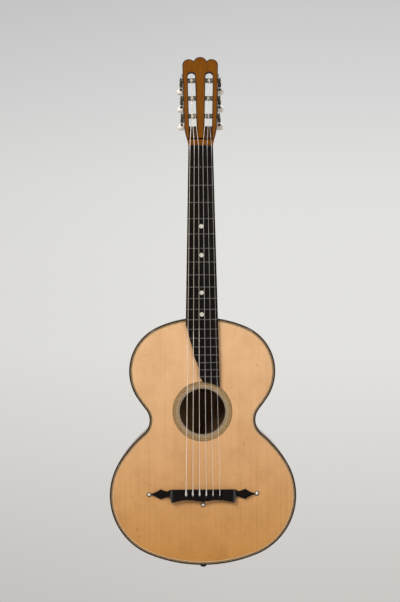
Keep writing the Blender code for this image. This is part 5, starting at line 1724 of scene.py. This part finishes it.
class GUITAR_OT_tuners(bpy.types.Operator):
    """Makes both sets of tuning machines: plates, rollers with gears, worms and pearl buttons."""

    bl_idname = "guitar.tuners"
    bl_label = "Tuning machines"

    def execute(self, context):
        for word, side in SIDES:
            face = side_frame(side)
            self.make_plate(word, side, face)
            for count, place in enumerate(TUNER_PLACES, 1):
                height = place - HEAD_SHOULDER
                shaft = face @ moved(side * MACHINE_OUT, 0.0, height - WORM_DROP)
                self.make_roller(f"roller_{word}_{count}", face, side, height)
                self.make_worm(f"knob_{word}_{count}", shaft, f"worm_{word}_{count}")
                self.make_button(f"knob_{word}_{count}", shaft, f"button_{word}_{count}")
        return {"FINISHED"}

    def make_plate(self, word, side, face):
        """The long plate with rounded ends, the lugs that hold the worms, and its screws."""
        half = TUNER_PLATE_WIDTH / 2
        low = TUNER_PLACES[0] - HEAD_SHOULDER - TUNER_PLATE_END
        high = TUNER_PLACES[-1] - HEAD_SHOULDER + TUNER_PLATE_END
        corner = half * 0.98
        outline = arc((0.0, high - corner), corner, 0.0, 180.0, 24)
        outline += arc((0.0, low + corner), corner, 180.0, 360.0, 24)
        outline = [(x / corner * half, z) for x, z in outline]
        plate = flat_shape("plate", [outline], -SEAT - PLATE_THICK, -SEAT, "plate")
        # A quarter turn in whole numbers, so that the plate's faces stay exactly flat for the cuts.
        plate.data.transform(Matrix(((0.0, -side, 0.0, 0.0), (side, 0.0, 0.0, 0.0), (0.0, 0.0, 1.0, 0.0),
                                     (0.0, 0.0, 0.0, 1.0))))
        lug_out = MACHINE_OUT + LUG_HALF - SEAT
        for place in TUNER_PLACES:
            height = place - HEAD_SHOULDER
            bore = moved(0.0, 0.0, height) @ spun(90.0, "Y")
            cut(plate, rods("bore", ROLLER_RADIUS + SEAT, 0.02, 36, [bore]))
            for end in (-1, 1):
                across = end * (WORM_HALF + SEAT + LUG_THICK / 2)
                lug = tile("lug", lug_out, LUG_THICK, 2 * LUG_HALF)
                lug.data.transform(moved(side * (SEAT + lug_out / 2), across, height - WORM_DROP))
                round_edges(lug, 0.0008, 3)
                hole = moved(side * MACHINE_OUT, across, height - WORM_DROP) @ spun(90.0, "X")
                cut(lug, rods("hole", SHAFT_RADIUS + SEAT, 0.01, 24, [hole]))
                cut(plate, lug, "UNION")
        round_edges(plate, 0.00025, 2, 50.0)
        plate.data.transform(face)
        ready(settle(plate), "tuner_metal", f"tuner_plate_{word}")
        self.make_screws(word, side, face, low, high)

    def make_screws(self, word, side, face, low, high):
        """Four slotted screws down the plate's middle: one near each end and two between the machines."""
        screw = turned_shape("screw", SCREW_PROFILE, 24, "roller")
        nick = tile("nick", 0.0048, 0.0006, 0.0004)
        nick.data.transform(moved(0.0, -0.0009, 0.0))
        between = [(a + b) / 2 - HEAD_SHOULDER + SCREW_SHIFT for a, b in zip(TUNER_PLACES, TUNER_PLACES[1:])]
        places = []
        for height in (low + SCREW_SHIFT, high - SCREW_SHIFT, *between):
            turn = face @ moved(side * (SEAT + PLATE_THICK), 0.0, height) @ spun(side * 90.0, "Z")
            places.append((tuple(turn.translation), tuple(turn.to_euler()), (1.0, 1.0, 1.0)))
        screws = scattered(f"plate_screws_{word}", settle(cut(screw, nick)), places, "roller")
        ready(screws, "tuner_metal")

    def make_roller(self, name, face, side, height):
        """The roller across the slot, with eased ends, and its toothed wheel and screw outside the plate."""
        axle = face @ moved(0.0, 0.0, height) @ spun(-side * 90.0, "Z")
        gear_end = MACHINE_OUT + GEAR_THICK / 2
        profile = [(0.0, ROLLER_REACH), (ROLLER_RADIUS - 0.0004, ROLLER_REACH),
                   (ROLLER_RADIUS, ROLLER_REACH - 0.0004), (ROLLER_RADIUS, -gear_end + 0.0003),
                   (ROLLER_RADIUS - 0.0003, -gear_end), (0.0, -gear_end)]
        roller = turned_shape("roller", profile, 48, "roller")
        roller.data.transform(axle)
        ready(settle(roller), "roller_metal", name, body=name)
        foot = TOOTH_FOOT / GEAR_ROOT / 2
        top = TOOTH_TIP / GEAR_OUTER / 2
        points = []
        for tooth in range(TEETH):
            middle = 2 * math.pi * tooth / TEETH + math.pi / 2
            corners = ((-foot, GEAR_ROOT), (-top, GEAR_OUTER), (top, GEAR_OUTER), (foot, GEAR_ROOT))
            for turn, radius in corners:
                points.append((radius * math.cos(middle + turn), radius * math.sin(middle + turn)))
        gear = flat_shape("gear", [points], MACHINE_OUT - GEAR_THICK / 2, gear_end, "plate")
        gear.data.transform(axle)
        round_edges(gear, 0.00012, 1)
        ready(settle(gear, 30.0), "roller_metal", body=name)
        screw = turned_shape("axle_screw", AXLE_SCREW_PROFILE, 24, "roller")
        screw.data.transform(axle @ moved(0.0, gear_end + 0.0001, 0.0) @ Matrix.Rotation(math.pi, 4, "X"))
        ready(settle(screw), "roller_metal", body=name)

    def make_worm(self, body, shaft, replaced):
        """The threaded worm and its shaft, one turned piece."""
        lead = 2 * math.pi * GEAR_PITCH / TEETH
        steps = 40
        count = round(2 * WORM_HALF / lead * 20)
        places = [(-(WORM_HALF + SEAT + LUG_THICK), False), (-WORM_HALF, False)]
        places += [(-WORM_HALF + 2 * WORM_HALF * i / count, True) for i in range(count + 1)]
        places += [(WORM_HALF, False), (SHAFT_END, False)]
        rings = []
        for y, threaded in places:
            points = []
            for j in range(steps):
                angle = 2 * math.pi * j / steps
                radius = self.thread_radius(y, angle, lead) if threaded else SHAFT_RADIUS
                points.append((radius * math.sin(angle), y, radius * math.cos(angle)))
            rings.append(points)
        worm = loft("worm", rings, "worm")
        worm.data.transform(shaft)
        ready(settle(worm, 30.0), "tuner_metal", replaced, body=body)

    def thread_radius(self, y, angle, lead):
        """The worm's radius: a sloping thread on its root, run out at both ends."""
        off = abs((y / lead - angle / (2 * math.pi)) % 1.0 - 0.5) * lead
        crest, foot = THREAD_CREST / 2, THREAD_FOOT / 2
        share = min(1.0, max(0.0, (foot - off) / (foot - crest)))
        end = min(1.0, (WORM_HALF - abs(y)) / 0.0005)
        return WORM_ROOT + (WORM_OUTER - WORM_ROOT) * share * max(0.0, end)

    def make_button(self, body, shaft, replaced):
        """A flat rounded pearl button with a metal collar where the shaft enters."""
        low, high = BUTTON_ENDS
        button = tile("button", 0.0150, high - low, 0.0110, finish_name="button")
        button.data.transform(moved(0.0, (low + high) / 2, 0.0))
        round_edges(button, 0.0042, 6)
        button.data.transform(shaft)
        ready(settle(button, 60.0), "button_pearl", replaced, body=body)
        collar = turned_shape("collar", COLLAR_PROFILE, 24, "worm")
        collar.data.transform(shaft @ moved(0.0, low - 0.0003, 0.0))
        ready(settle(collar), "tuner_metal", body=body)


class GUITAR_OT_end_pin(bpy.types.Operator):
    """Makes the turned end pin at the bottom of the body."""

    bl_idname = "guitar.end_pin"
    bl_label = "End pin"

    def execute(self, context):
        bottom = body_half()[-1][1]
        pin = turned_shape("ebony_end_pin", END_PIN_PROFILE, 48, "ebony")
        pin.data.transform(moved(0.0, sizes().depth / 2, bottom - SEAT) @ spun(90.0, "X"))
        ready(settle(pin), "ebony", "end_pin")
        return {"FINISHED"}


class GUITAR_PT_panel(bpy.types.Panel):
    """Lists the pieces that can be built."""

    bl_idname = "GUITAR_PT_panel"
    bl_label = "Guitar"
    bl_space_type = "VIEW_3D"
    bl_region_type = "UI"
    bl_category = "Guitar"

    def draw(self, context):
        for piece in OPERATORS:
            self.layout.operator(piece.bl_idname)


OPERATORS = (GUITAR_OT_stage, GUITAR_OT_soundboard, GUITAR_OT_edges, GUITAR_OT_rosette, GUITAR_OT_body,
             GUITAR_OT_neck, GUITAR_OT_fingerboard, GUITAR_OT_bridge, GUITAR_OT_strings, GUITAR_OT_tuners,
             GUITAR_OT_end_pin)
CLASSES = (GuitarSizes, GuitarColours, *OPERATORS, GUITAR_PT_panel)


def register():
    for made in CLASSES:
        bpy.utils.register_class(made)
    bpy.types.Scene.guitar_sizes = bpy.props.PointerProperty(type=GuitarSizes)
    bpy.types.Scene.guitar_colours = bpy.props.PointerProperty(type=GuitarColours)


def unregister():
    del bpy.types.Scene.guitar_colours
    del bpy.types.Scene.guitar_sizes
    for made in reversed(CLASSES):
        bpy.utils.unregister_class(made)


def main():
    """Build everything in order."""
    register()
    for piece in OPERATORS:
        group, name = piece.bl_idname.split(".")
        if getattr(getattr(bpy.ops, group), name)() != {"FINISHED"}:
            raise RuntimeError(f"{piece.bl_label} did not finish")


if __name__ == "__main__":
    main()
